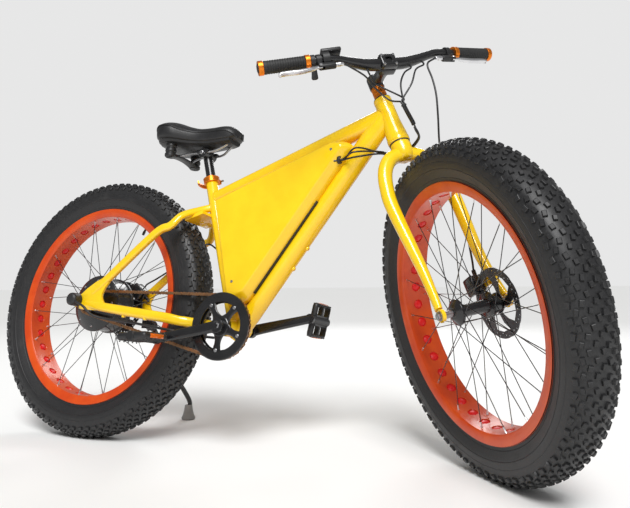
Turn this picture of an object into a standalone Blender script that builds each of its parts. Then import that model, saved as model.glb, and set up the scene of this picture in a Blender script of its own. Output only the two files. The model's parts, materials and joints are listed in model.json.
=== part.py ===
"""Electric bicycle with fat knobbly tyres, on its side stand with the front wheel turned.

Every piece is modelled in the bicycle's own upright coordinates: the origin is the rear axle,
+X is forward, +Y is the rider's left and +Z is up. The last step stands the whole bicycle on
its two tyres and its side stand, which leans it a little to the left.
"""

import math

import bmesh
import bpy
from mathutils import Matrix, Vector

# Wheels, in metres
WHEELBASE = 1.123
TYRE_RADIUS = 0.375
TYRE_WIDTH = 0.098
TYRE_STEPS = 30
KNOB_HEIGHT = 0.0045
RIM_EDGE_RADIUS = 0.2855
RIM_FLOOR_RADIUS = 0.2615
RIM_WIDTH = 0.080
RIM_WALL = 0.0024
RIM_HOLES = 36
RIM_HOLE_RADIUS = 0.0118
SPOKES = 36
SPOKE_RADIUS = 0.0011
ROTOR_RADIUS = 0.080
MOTOR_RADIUS = 0.0775
AXLE_RADIUS = 0.0065
FRONT_AXLE_RADIUS = 0.0048

# Steering
HEAD_ANGLE = math.radians(67.6)
FORK_OFFSET = 0.036
STEER_AT_REST = math.radians(-48)
HEAD_TUBE_LOW = 0.4515
HEAD_TUBE_HIGH = 0.5830
STEERER_RADIUS = 0.0143
GRIP_LENGTH = 0.127
GRIP_RADIUS = 0.0165
BAR_RADIUS = 0.0111

# Frame
SEAT_ANGLE = math.radians(72.8)
SEAT_TUBE_LENGTH = 0.4480
SEAT_TUBE_RADIUS = 0.0175
SEATPOST_RADIUS = 0.0135
STAY_SPREAD = 0.100
DROPOUT_THICKNESS = 0.008
DOWN_TUBE_WIDTH = 0.056
DOWN_TUBE_DEPTH = 0.052
CASE_WIDTH = 0.104
CASE_WALL = 0.006

# Drive
CRANK_AHEAD = 0.471
CRANK_DROP = 0.0605
CRANK_LENGTH = 0.170
CRANK_PITCH = math.radians(13.5)
PEDAL_OUT = 0.163
RING_TEETH = 40
SPROCKET_TEETH = 16
CHAIN_PITCH = 0.0127
CHAIN_SIDE = 0.0600
GUARD_RADIUS = 0.0864

# Running and assembly gaps
GAP = 0.0003
LOOSE = 0.0006

X = Vector((1, 0, 0))
Y = Vector((0, 1, 0))
Z = Vector((0, 0, 1))
ORIGIN = Vector((0, 0, 0))
STEER_UP = Vector((-math.cos(HEAD_ANGLE), 0, math.sin(HEAD_ANGLE)))
STEER_AHEAD = Vector((math.sin(HEAD_ANGLE), 0, math.cos(HEAD_ANGLE)))
STEER_BASE = Vector((WHEELBASE - FORK_OFFSET / math.sin(HEAD_ANGLE), 0, 0))
FRONT_AXLE = Vector((WHEELBASE, 0, 0))
CRANK = Vector((CRANK_AHEAD, 0, -CRANK_DROP))
SEAT_UP = Vector((-math.cos(SEAT_ANGLE), 0, math.sin(SEAT_ANGLE)))
SEAT_AHEAD = Vector((math.sin(SEAT_ANGLE), 0, math.cos(SEAT_ANGLE)))
CRANK_REACH = Vector((math.cos(CRANK_PITCH), 0, math.sin(CRANK_PITCH))) * CRANK_LENGTH

FINISHES = {
    "frame_paint": ((0.95, 0.58, 0.005), 0.0, 0.30),
    "rim_paint": ((0.72, 0.085, 0.012), 0.0, 0.35),
    "strip_red": ((0.65, 0.008, 0.010), 0.0, 0.45),
    "tyre_rubber": ((0.012, 0.012, 0.013), 0.0, 0.75),
    "grip_rubber": ((0.015, 0.015, 0.016), 0.0, 0.80),
    "black_paint": ((0.012, 0.012, 0.013), 0.0, 0.35),
    "black_plastic": ((0.018, 0.018, 0.019), 0.0, 0.50),
    "black_vinyl": ((0.014, 0.014, 0.016), 0.0, 0.55),
    "orange_anodised": ((0.85, 0.23, 0.02), 0.9, 0.30),
    "silver": ((0.75, 0.75, 0.76), 1.0, 0.30),
    "steel": ((0.45, 0.45, 0.46), 1.0, 0.35),
    "chain_steel": ((0.42, 0.22, 0.13), 1.0, 0.40),
    "grey_rubber": ((0.28, 0.28, 0.28), 0.0, 0.80),
}

PIVOTS = {}
PIECES = {}
HELPERS = {}


def clear_scene():
    for found in list(bpy.data.objects):
        bpy.data.objects.remove(found)


def finish_material(name):
    material = bpy.data.materials.get(name)
    if material is None:
        colour, metallic, roughness = FINISHES[name]
        material = bpy.data.materials.new(name)
        material.use_nodes = True
        shader = material.node_tree.nodes["Principled BSDF"]
        shader.inputs["Base Color"].default_value = (*colour, 1)
        shader.inputs["Metallic"].default_value = metallic
        shader.inputs["Roughness"].default_value = roughness
    return material


def new_object(name, mesh, finish, smooth=True):
    """Turns a bmesh into a named object, with its faces outward and hard edges kept."""
    bmesh.ops.recalc_face_normals(mesh, faces=mesh.faces)
    if mesh.calc_volume(signed=True) < 0:
        bmesh.ops.reverse_faces(mesh, faces=mesh.faces)
    data = bpy.data.meshes.new(name)
    mesh.to_mesh(data)
    mesh.free()
    piece = bpy.data.objects.new(name, data)
    bpy.context.scene.collection.objects.link(piece)
    data.materials.append(finish_material(finish))
    if smooth:
        for face in data.polygons:
            face.use_smooth = True
        data.set_sharp_from_angle(angle=math.radians(35))
    PIECES[name] = piece
    return piece


def helper(piece):
    """Marks an object as a cutter or a body to be joined, which no render shows."""
    piece.hide_render = True
    piece.display_type = "WIRE"
    PIECES.pop(piece.name, None)
    return piece


def combine(piece, others, operation, solver):
    """Joins helpers to a piece, or cuts them from it, one after the other."""
    HELPERS.setdefault(piece.name, []).extend(others)
    for other in others:
        modifier = piece.modifiers.new(other.name, "BOOLEAN")
        modifier.operation = operation
        modifier.solver = solver
        modifier.object = helper(other)
    return piece


def fuse(piece, others, solver="EXACT"):
    return combine(piece, others, "UNION", solver)


def cut(piece, others, solver="EXACT"):
    return combine(piece, others, "DIFFERENCE", solver)


def skin(mesh, rings, closed=False):
    """Joins rings of points into a solid: a loop when closed, else with flat ends."""
    rows = [[mesh.verts.new(point) for point in ring] for ring in rings]
    pairs = list(zip(rows, rows[1:]))
    if closed:
        pairs.append((rows[-1], rows[0]))
    for near, far in pairs:
        for i in range(len(near)):
            j = (i + 1) % len(near)
            mesh.faces.new((near[i], near[j], far[j], far[i]))
    if not closed:
        mesh.faces.new(rows[0][::-1])
        mesh.faces.new(rows[-1])


def skinned(name, rings, finish, closed=False, smooth=True):
    mesh = bmesh.new()
    skin(mesh, rings, closed)
    return new_object(name, mesh, finish, smooth)


def oval(centre, across, up, width, height, sides, power=2.0, turn=0.0):
    """A ring of points round an oval; a power above 2 squares it off."""
    ring = []
    for i in range(sides):
        angle = turn + math.tau * i / sides
        c = math.cos(angle)
        s = math.sin(angle)
        along = math.copysign(abs(c) ** (2 / power), c) * width
        over = math.copysign(abs(s) ** (2 / power), s) * height
        ring.append(centre + across * along + up * over)
    return ring


def tangents(path):
    found = []
    for i, point in enumerate(path):
        before = path[max(i - 1, 0)]
        after = path[min(i + 1, len(path) - 1)]
        into = (point - before).normalized() if i else Vector((0, 0, 0))
        out = (after - point).normalized() if i < len(path) - 1 else Vector((0, 0, 0))
        found.append((into + out).normalized())
    return found


def sweep(name, path, sizes, sides, finish, hint=Y, power=2.0):
    """A solid along a path; each size is the half width along the hint and the half height."""
    rings = []
    for point, along, (width, height) in zip(path, tangents(path), sizes):
        across = (hint - along * hint.dot(along)).normalized()
        up = along.cross(across)
        rings.append(oval(point, across, up, width, height, sides, power, math.pi / sides))
    return skinned(name, rings, finish)


def rod(name, start, end, radius, sides, finish, end_radius=None):
    """A straight round bar or cone between two points."""
    hint = Z if abs((end - start).normalized().z) < 0.9 else X
    last = radius if end_radius is None else end_radius
    return sweep(name, [start, end], [(radius, radius), (last, last)], sides, finish, hint)


def block(name, centre, axes, sizes, finish, soft=0.0):
    """A box on three axes with softened edges; sizes are whole lengths."""
    mesh = bmesh.new()
    bmesh.ops.create_cube(mesh, size=1)
    for vertex in mesh.verts:
        spot = centre.copy()
        for axis, size, part in zip(axes, sizes, vertex.co):
            spot += axis * size * part
        vertex.co = spot
    if soft:
        bmesh.ops.bevel(mesh, geom=mesh.edges[:], offset=soft, segments=1, affect="EDGES")
    return new_object(name, mesh, finish, smooth=False)


def prism(name, outline, low, high, finish, soft=0.0):
    """A plate in the side view: an outline of (x, z) pairs between two places on Y."""
    mesh = bmesh.new()
    base = mesh.faces.new([mesh.verts.new((x, low, z)) for x, z in outline])
    grown = bmesh.ops.extrude_face_region(mesh, geom=[base])
    moved = [item for item in grown["geom"] if isinstance(item, bmesh.types.BMVert)]
    bmesh.ops.translate(mesh, verts=moved, vec=(0, high - low, 0))
    if soft:
        rims = [edge for edge in mesh.edges if abs(edge.verts[0].co.y - edge.verts[1].co.y) < 1e-6]
        bmesh.ops.bevel(mesh, geom=rims, offset=soft, segments=1, affect="EDGES")
    return new_object(name, mesh, finish)


def lathe(name, profile, centre, axis, steps, finish, closed=False, start=None):
    """Spins a profile of (along, radius) pairs about an axis."""
    side = start or (Z if abs(axis.z) < 0.9 else X)
    side = (side - axis * side.dot(axis)).normalized()
    mesh = bmesh.new()
    points = [mesh.verts.new(centre + axis * along + side * radius) for along, radius in profile]
    ends = list(zip(points, points[1:]))
    if closed:
        ends.append((points[-1], points[0]))
    edges = [mesh.edges.new(pair) for pair in ends]
    bmesh.ops.spin(
        mesh, geom=points + edges, cent=centre, axis=axis, angle=math.tau, steps=steps, use_merge=True
    )
    bmesh.ops.remove_doubles(mesh, verts=mesh.verts, dist=1e-6)
    return new_object(name, mesh, finish)


def hole(radius, steps, gap=GAP):
    """Radius of a many sided hole whose flats keep a gap to a shaft."""
    return (radius + gap) / math.cos(math.pi / steps)


def ring_solid(name, low, high, inner, outer, centre, axis, steps, finish, soft=0.0):
    """A plain ring with softened outer edges."""
    profile = [(low, inner), (low, outer - soft), (low + soft, outer)]
    profile += [(high - soft, outer), (high, outer - soft), (high, inner)]
    if not soft:
        profile = [(low, inner), (low, outer), (high, outer), (high, inner)]
    return lathe(name, profile, centre, axis, steps, finish, closed=True)


def drum(name, low, high, radius, centre, axis, steps, finish, soft=0.0):
    """A solid disc or cylinder with softened edges."""
    profile = [(low, 0), (low, radius - soft), (low + soft, radius)]
    profile += [(high - soft, radius), (high, radius - soft), (high, 0)]
    if not soft:
        profile = [(low, 0), (low, radius), (high, radius), (high, 0)]
    return lathe(name, profile, centre, axis, steps, finish)


def smooth_path(points, spacing, most=60):
    """Points at an even spacing on a smooth curve through the given ones."""
    fine = []
    padded = [points[0] * 2 - points[1], *points, points[-1] * 2 - points[-2]]
    for a, b, c, d in zip(padded, padded[1:], padded[2:], padded[3:]):
        for i in range(16):
            t = i / 16
            place = b * 2 + (c - a) * t + (a * 2 - b * 5 + c * 4 - d) * t * t
            fine.append((place + (b * 3 - a - c * 3 + d) * t * t * t) / 2)
    fine.append(points[-1])
    length = sum((q - p).length for p, q in zip(fine, fine[1:]))
    count = max(3, min(most, round(length / spacing)))
    spaced = [fine[0]]
    gone = 0.0
    for p, q in zip(fine, fine[1:]):
        step = (q - p).length
        while len(spaced) < count and gone + step >= length * len(spaced) / count:
            share = (length * len(spaced) / count - gone) / step
            spaced.append(p.lerp(q, share))
        gone += step
    spaced.append(fine[-1])
    return spaced


def cable(name, points, radius, finish="black_plastic", spacing=0.034):
    """A round cable as a curve with a bevel, along a smooth line through the points."""
    data = bpy.data.curves.new(name, "CURVE")
    data.dimensions = "3D"
    line = data.splines.new("POLY")
    spots = smooth_path(points, spacing)
    line.points.add(len(spots) - 1)
    for point, spot in zip(line.points, spots):
        point.co = (*spot, 1)
    data.bevel_depth = radius
    data.bevel_resolution = 2
    data.use_fill_caps = True
    data.materials.append(finish_material(finish))
    piece = bpy.data.objects.new(name, data)
    bpy.context.scene.collection.objects.link(piece)
    PIECES[name] = piece
    return piece


def strand(name, points, radius, sides=4, spacing=0.022):
    """A cable as a mesh, so that it can be joined with others."""
    spots = smooth_path(points, spacing)
    hint = Vector((0.31, 0.87, 0.38)).normalized()
    return sweep(name, spots, [(radius, radius)] * len(spots), sides, "black_plastic", hint)


def front_end(side, height, ahead):
    """A point of the steered front end, from the steering axis."""
    return STEER_BASE + STEER_UP * height + STEER_AHEAD * ahead + Y * side


def on_seat(height, ahead=0.0, side=0.0):
    """A point on the seat tube's line, from the crank's axis."""
    return CRANK + SEAT_UP * height + SEAT_AHEAD * ahead + Y * side


def at_angle(centre, radius, angle, side):
    return centre + Vector((math.cos(angle) * radius, side, math.sin(angle) * radius))


def pivot(name, place, parent=None, turn=None):
    """An empty on a joint's axis. Its place is given in the upright bicycle."""
    empty = bpy.data.objects.new(name, None)
    empty.empty_display_size = 0.03
    bpy.context.scene.collection.objects.link(empty)
    base = ORIGIN
    if parent:
        empty.parent = PIVOTS[parent][0]
        base = PIVOTS[parent][1]
    empty.location = place - base
    if turn:
        empty.rotation_mode = "QUATERNION"
        empty.rotation_quaternion = turn
    PIVOTS[name] = (empty, place)


def hang(name, holder):
    """Parents a piece to a pivot, in the place where it was modelled."""
    empty, place = PIVOTS[holder]
    for piece in [PIECES[name], *HELPERS.get(name, [])]:
        piece.parent = empty
        piece.location = -place


def tyre(name, centre):
    """A fat tyre with open blocks in five rows; the two sidewalls are smooth."""
    half = TYRE_WIDTH / 2
    crown = TYRE_RADIUS - KNOB_HEIGHT
    bead = RIM_FLOOR_RADIUS + 0.0105
    seat = RIM_WIDTH / 2 - RIM_WALL - LOOSE
    outer = [(seat - 0.0035, bead), (seat, RIM_EDGE_RADIUS + 0.002), (half, bead + 0.043)]
    outer += [(half * 0.955, crown - 0.026), (half * 0.62, crown - 0.006), (half * 0.215, crown)]
    inner = [(half - 0.010, bead + 0.046), (seat - 0.0095, bead)]
    profile = outer + [(-y, r) for y, r in reversed(outer)]
    profile += [(-y, r) for y, r in reversed(inner)] + inner
    step = math.tau / TYRE_STEPS
    rings = []
    for i in range(TYRE_STEPS):
        out = Vector((math.cos(i * step), 0, math.sin(i * step)))
        rings.append([centre + Y * y + out * r for y, r in profile])
    mesh = bmesh.new()
    skin(mesh, rings, closed=True)
    faces = list(mesh.faces)
    for i in range(TYRE_STEPS):
        for row, parity in ((3, 0), (5, 1), (7, 0)):
            if (i + parity) % 2 == 0:
                raise_block(mesh, faces[i * len(profile) + row], centre)
    return new_object(name, mesh, "tyre_rubber", smooth=False)


def raise_block(mesh, face, centre):
    """One tread block: the face moves out from the tyre and draws in a little."""
    middle = face.calc_center_median()
    corners = [vertex.co.copy() for vertex in face.verts]
    made = bmesh.ops.extrude_discrete_faces(mesh, faces=[face])["faces"][0]
    out = (middle - centre - Y * (middle - centre).y).normalized()
    lean = (out + Y * (middle - centre).y / TYRE_WIDTH * 1.1).normalized()
    for vertex, corner in zip(made.verts, corners):
        vertex.co = corner.lerp(middle, 0.16) + lean * KNOB_HEIGHT


def rim(name, centre):
    """A wide rim with one wall, a lip at each side and a row of round cut outs."""
    half = RIM_WIDTH / 2
    floor = RIM_FLOOR_RADIUS
    outer = [(half, RIM_EDGE_RADIUS), (half * 0.86, floor)]
    profile = outer + [(-y, r) for y, r in reversed(outer)]
    top = [(half - RIM_WALL, RIM_EDGE_RADIUS), (half * 0.86 - RIM_WALL, floor + RIM_WALL)]
    profile += [(-y, r) for y, r in top] + [(y, r) for y, r in reversed(top)]
    step = math.tau / RIM_HOLES
    rings = []
    for i in range(RIM_HOLES):
        out = Vector((math.cos((i - 0.5) * step), 0, math.sin((i - 0.5) * step)))
        rings.append([centre + Y * y + out * r for y, r in profile])
    piece = skinned(name, rings, "rim_paint", closed=True)
    holes = bmesh.new()
    for i in range(RIM_HOLES):
        out = Vector((math.cos(i * step), 0, math.sin(i * step)))
        along = out.cross(Y)
        low = oval(centre + out * (floor - 0.006), along, Y, RIM_HOLE_RADIUS, RIM_HOLE_RADIUS, 4)
        skin(holes, [low, [point + out * 0.016 for point in low]])
    return cut(piece, [new_object(name + "_holes", holes, "rim_paint")])


def rim_strip(name, centre):
    """The thin band under the tube that shows through the cut outs."""
    low = RIM_FLOOR_RADIUS + RIM_WALL + GAP
    half = RIM_WIDTH * 0.225
    profile = [(-half, low), (half, low), (0.0, low + 0.001)]
    step = math.tau / RIM_HOLES
    rings = []
    for i in range(RIM_HOLES):
        out = Vector((math.cos((i - 0.5) * step), 0, math.sin((i - 0.5) * step)))
        rings.append([centre + Y * y + out * r for y, r in profile])
    return skinned(name, rings, "strip_red", closed=True)


def spokes(name, centre, flanges, flange_radius, crossing):
    """All spokes of a wheel as helpers: half to each flange, leaning forward and back in turn."""
    step = math.tau / SPOKES
    end = RIM_FLOOR_RADIUS - 0.0009
    made = []
    for i in range(SPOKES):
        side = 1 if i % 2 else -1
        lean = crossing if (i // 2) % 2 else -crossing
        angle = (i + 0.5) * step
        shift = 0.0012 if lean > 0 else -0.0012
        high = at_angle(centre, end, angle, side * RIM_WIDTH * 0.30)
        low = at_angle(centre, flange_radius, angle + lean, flanges[i % 2] + shift)
        made.append(rod(f"{name}_spoke_{i}", low, high, SPOKE_RADIUS, 3, "black_paint"))
    return made


def front_wheel():
    bore = hole(FRONT_AXLE_RADIUS, 10, LOOSE)
    profile = [(-0.060, bore), (-0.060, 0.0140), (-0.0500, 0.0290), (-0.0440, 0.0290)]
    profile += [(-0.0430, 0.0150), (0.029, 0.0150), (0.0300, 0.0290), (0.0360, 0.0290)]
    profile += [(0.0370, 0.0220), (0.0575, 0.0220), (0.0575, 0.0120), (0.0640, 0.0120), (0.0640, bore)]
    lathe("front_hub", profile, FRONT_AXLE, Y, 10, "black_paint", closed=True)
    laced = spokes("front_hub", FRONT_AXLE, (-0.047, 0.033), 0.0265, math.radians(62))
    fuse(PIECES["front_hub"], laced)
    tyre("front_tyre", FRONT_AXLE)
    rim("front_rim", FRONT_AXLE)
    rim_strip("front_rim_strip", FRONT_AXLE)
    rotor("front_rotor", FRONT_AXLE, 0.0578, hole(0.0120, 10))


def rotor(name, centre, low, inner):
    """A brake disc: a rubbing ring on five swept arms with a bored middle."""
    piece = ring_solid(name, low, low + 0.002, 0.064, ROTOR_RADIUS, centre, Y, 18, "steel")
    middle = ring_solid(name + "_middle", low, low + 0.002, inner, 0.0215, centre, Y, 10, "steel")
    arms = []
    for i in range(5):
        angle = math.tau * i / 5
        near = at_angle(centre, 0.0195, angle, low + 0.001)
        far = at_angle(centre, 0.0665, angle + 0.5, low + 0.001)
        along = (far - near).normalized()
        sizes = ((far - near).length, 0.0019, 0.008)
        arms.append(block(f"{name}_arm_{i}", (near + far) / 2, (along, Y, along.cross(Y)), sizes, "steel"))
    return fuse(piece, [middle, *arms])


def rear_wheel():
    bore = hole(AXLE_RADIUS, 14, LOOSE)
    edge = MOTOR_RADIUS + 0.004
    profile = [(-0.0665, bore), (-0.0665, 0.0195), (-0.0520, 0.0195), (-0.0430, 0.0520)]
    profile += [(-0.0340, edge), (-0.0280, edge), (-0.0270, MOTOR_RADIUS), (0.0270, MOTOR_RADIUS)]
    profile += [(0.0280, edge), (0.0340, edge), (0.0440, 0.0480), (0.0500, 0.0220)]
    profile += [(0.0710, 0.0220), (0.0710, 0.0140), (0.0770, 0.0140), (0.0770, bore)]
    lathe("motor_hub", profile, ORIGIN, Y, 14, "black_paint", closed=True)
    laced = spokes("motor_hub", ORIGIN, (-0.031, 0.031), MOTOR_RADIUS + 0.0015, math.radians(20))
    fuse(PIECES["motor_hub"], laced)
    tyre("rear_tyre", ORIGIN)
    rim("rear_rim", ORIGIN)
    rim_strip("rear_rim_strip", ORIGIN)
    rotor("rear_rotor", ORIGIN, 0.0713, hole(0.0140, 10))


def toothed_outline(centre, teeth, tip, root):
    outline = []
    for i in range(teeth * 2):
        angle = math.tau * i / (teeth * 2)
        radius = tip if i % 2 == 0 else root
        outline.append((centre.x + math.cos(angle) * radius, centre.z + math.sin(angle) * radius))
    return outline


def pitch_radius(teeth):
    return CHAIN_PITCH / (2 * math.sin(math.pi / teeth))


def sprocket():
    tip = pitch_radius(SPROCKET_TEETH) - 0.0047
    outline = toothed_outline(ORIGIN, SPROCKET_TEETH, tip, tip - 0.0020)
    piece = prism("sprocket", outline, -CHAIN_SIDE - 0.0020, -CHAIN_SIDE + 0.0020, "steel")
    bore = drum("sprocket_bore", -0.075, -0.045, 0.0205, ORIGIN, Y, 14, "steel")
    cut(piece, [bore])


def chainring():
    tip = pitch_radius(RING_TEETH) - 0.0047
    outline = toothed_outline(CRANK, RING_TEETH // 2, tip, tip - 0.0022)
    piece = prism("chainring", outline, -CHAIN_SIDE - 0.0015, -CHAIN_SIDE + 0.0015, "steel")
    cut(piece, [drum("ring_bore", -0.080, -0.045, 0.0600, CRANK, Y, 16, "steel")])


def chain_guard():
    low = -CHAIN_SIDE - 0.0120
    high = -CHAIN_SIDE - 0.0055
    profile = [(high, GUARD_RADIUS - 0.0030), (high - 0.0020, GUARD_RADIUS), (low + 0.001, GUARD_RADIUS)]
    profile += [(low, GUARD_RADIUS - 0.002), (low, 0.0625), (low + 0.0045, 0.0625)]
    lathe("chain_guard", profile, CRANK, Y, 24, "black_paint", closed=True)


def chain():
    """A closed band round both gears, with a station for each link where it bends."""
    big = pitch_radius(RING_TEETH)
    small = pitch_radius(SPROCKET_TEETH)
    gap = CRANK - ORIGIN
    span = gap.length
    tilt = math.atan2(gap.z, gap.x)
    lean = math.asin((big - small) / span)
    straight = span * math.cos(lean)
    lengths = [straight, big * (math.pi + 2 * lean), straight, small * (math.pi - 2 * lean)]
    bends = (round(lengths[1] / CHAIN_PITCH), round(lengths[3] / CHAIN_PITCH))
    gone = [lengths[0] + lengths[1] * i / bends[0] for i in range(bends[0] + 1)]
    before = sum(lengths[:3])
    gone += [before + lengths[3] * i / bends[1] for i in range(bends[1])]
    rings = []
    for place, out in [chain_point(spot, lengths, big, small, tilt, lean) for spot in [0.0, *gone]]:
        rings.append(oval(place - Y * CHAIN_SIDE, Y, out, 0.0061, 0.0054, 4, 2, math.pi / 4))
    return skinned("chain", rings, "chain_steel", closed=True, smooth=False)


def chain_point(gone, lengths, big, small, tilt, lean):
    """A place on the chain's loop and the direction away from the loop."""
    up = math.pi / 2 + tilt + lean
    down = -math.pi / 2 + tilt - lean
    if gone < lengths[0]:
        out = Vector((math.cos(up), 0, math.sin(up)))
        return (ORIGIN + out * small).lerp(CRANK + out * big, gone / lengths[0]), out
    gone -= lengths[0]
    if gone < lengths[1]:
        angle = up - gone / big
        out = Vector((math.cos(angle), 0, math.sin(angle)))
        return CRANK + out * big, out
    gone -= lengths[1]
    if gone < lengths[2]:
        out = Vector((math.cos(down), 0, math.sin(down)))
        return (CRANK + out * big).lerp(ORIGIN + out * small, gone / lengths[2]), out
    angle = down - (gone - lengths[2]) / small
    out = Vector((math.cos(angle), 0, math.sin(angle)))
    return ORIGIN + out * small, out


def cranks():
    """The right arm carries the spindle and the spider; the left arm is pressed onto the spindle."""
    for side, name in ((-1, "crank_arm_right"), (1, "crank_arm_left")):
        reach = CRANK_REACH * side
        path = [CRANK + Y * side * 0.0790, CRANK + reach * 0.25 + Y * side * 0.0830]
        path += [CRANK + reach * 0.75 + Y * side * 0.1000, CRANK + reach + Y * side * 0.1090]
        sizes = [(0.0070, 0.0150), (0.0070, 0.0140), (0.0062, 0.0125), (0.0062, 0.0120)]
        arm = sweep(name, path, sizes, 6, "black_paint", Y, 2.6)
        ends = [drum(name + "_boss", 0.0710, 0.0865, 0.0185, CRANK, Y * side, 12, "black_paint")]
        foot = CRANK + reach
        ends.append(drum(name + "_eye", 0.1030, 0.1155, 0.0135, foot, Y * side, 10, "black_paint"))
        if side < 0:
            ends += spider()
        ends.append(drum(name + "_shaft", 0.1080, PEDAL_OUT + 0.0385, 0.0043, foot, Y * side, 8, "steel"))
        fuse(arm, ends, "MANIFOLD")
        if side > 0:
            cut(arm, [drum(name + "_socket", 0.060, 0.0790, 0.0092, CRANK, Y, 12, "black_paint")])


def spider():
    """Five arms inside the guard ring, and the spindle."""
    made = [drum("spindle", -0.0780, 0.0785, 0.0085, CRANK, Y, 12, "steel")]
    side = -CHAIN_SIDE - 0.0108
    made.append(drum("spider_boss", side - 0.001, side + 0.0105, 0.0260, CRANK, Y, 12, "black_paint"))
    for i in range(5):
        angle = math.tau * i / 5 + math.pi + CRANK_PITCH
        near = at_angle(CRANK, 0.020, angle, side + 0.0035)
        far = at_angle(CRANK, 0.0608, angle, side + 0.0035)
        along = (far - near).normalized()
        rings = []
        for spot, wide in ((near, 0.0125), (near.lerp(far, 0.5), 0.0070), (far, 0.0110)):
            rings.append(oval(spot, Y, along.cross(Y), 0.0042, wide * 1.3, 4, 2, math.pi / 4))
        made.append(skinned(f"spider_arm_{i}", rings, "black_paint"))
    return made


def pedal(name, side, tilt):
    """A cage pedal: a frame of bars round a body tube, with a row of studs at each long side."""
    centre = CRANK + CRANK_REACH * side + Y * side * PEDAL_OUT
    long = Vector((math.cos(tilt), 0, math.sin(tilt)))
    thick = Vector((-math.sin(tilt), 0, math.cos(tilt)))
    axes = (long, Y, thick)
    piece = drum(name, -0.0440, 0.0470, 0.0125, centre, Y * side, 8, "black_plastic")
    bars = []
    for end in (-1, 1):
        spot = centre + long * 0.0440 * end
        bars.append(block(f"{name}_side_{end}", spot, axes, (0.0070, 0.0900, 0.0240), "black_plastic"))
    for i, place in enumerate((-0.0415, 0.0, 0.0415)):
        spot = centre + Y * place
        bars.append(block(f"{name}_rib_{i}", spot, axes, (0.0880, 0.0060, 0.0180), "black_plastic"))
    fuse(piece, bars)
    cut(piece, [drum(name + "_bore", -0.080, 0.0400, 0.0050, centre, Y * side, 8, "black_plastic")])


def down_tube_lines():
    """The down tube's lower edge as two points, its direction and the direction into the frame."""
    low = CRANK + X * 0.049 - Z * 0.0075
    high = front_end(0, 0.4823, -0.0313)
    along = (high - low).normalized()
    return low, high, along, Y.cross(along) * -1


def main_tube(name, grown=0.0):
    """The three main tubes and the shell; grown ones cut room for them in the case."""
    low, high, along, inward = down_tube_lines()
    half = DOWN_TUBE_DEPTH / 2
    path = [low + inward * half - along * 0.040, low + inward * half + along * 0.050]
    path += [high + inward * (half + 0.003) - along * 0.10, high + inward * (half + 0.005) + along * 0.048]
    wide = DOWN_TUBE_WIDTH / 2 + grown
    sizes = [(wide * 0.86, half * 0.86 + grown), (wide, half + grown)]
    sizes += [(wide, half + 0.003 + grown), (wide * 0.86, half + 0.005 + grown)]
    down = sweep(name + "_down_tube", path, sizes, 10, "frame_paint", Y, 1.65)
    seat_end = on_seat(0.382)
    head_end = front_end(0, 0.5325, 0.0)
    path = [seat_end, seat_end.lerp(head_end, 0.5), seat_end.lerp(head_end, 0.85), head_end]
    sizes = [(0.0160, 0.0175), (0.0190, 0.0210), (0.0215, 0.0245), (0.0225, 0.0255)]
    sizes = [(w + grown, h + grown) for w, h in sizes]
    top = sweep(name + "_top_tube", path, sizes, 10, "frame_paint", Y, 2.6)
    radius = SEAT_TUBE_RADIUS + grown
    seat = rod(name + "_seat_tube", on_seat(-0.005), on_seat(SEAT_TUBE_LENGTH), radius, 12, "frame_paint")
    shell = drum(name + "_shell", -0.0500, 0.0500, 0.0240 + grown, CRANK, Y, 14, "frame_paint")
    return down, top, seat, shell


def stay_paths(side):
    """Centre lines of one seat stay and one chain stay."""
    wide = STAY_SPREAD * side
    upper = [on_seat(0.356), on_seat(0.350, -0.032, side * 0.028), on_seat(0.334, -0.066, wide * 0.72)]
    upper += [on_seat(0.308, -0.095, wide * 0.93), Vector((0.2460, wide, 0.1830))]
    upper += [Vector((0.0995, wide, 0.0616)), Vector((0.0480, wide, 0.0225))]
    lower = [CRANK + Y * side * 0.030, CRANK + Vector((-0.050, side * 0.036, 0.0035))]
    lower += [CRANK + Vector((-0.081, side * 0.045, 0.0065)), CRANK + Vector((-0.100, side * 0.060, 0.0080))]
    lower += [CRANK + Vector((-0.113, side * 0.070, 0.0095)), CRANK + Vector((-0.130, side * 0.078, 0.0110))]
    lower.append(CRANK + Vector((-0.165, side * 0.0875, 0.0170)))
    lower += [Vector((0.2200, wide, -0.0340)), Vector((0.0900, wide, -0.0185)), Vector((0.030, wide, -0.010))]
    return upper, lower


def dropout_outline(grow=0.0):
    """The plate that joins the two stays round the rear axle."""
    spots = [(0.094, 0.068), (0.060, 0.052), (0.010, 0.016), (-0.011, 0.006), (-0.013, -0.008)]
    spots += [(-0.006, -0.021), (0.020, -0.026), (0.104, -0.030), (0.098, -0.008), (0.088, 0.003)]
    spots += [(0.086, 0.018), (0.106, 0.050)]
    return [(x, z) for x, z in reversed(spots)]


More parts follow.
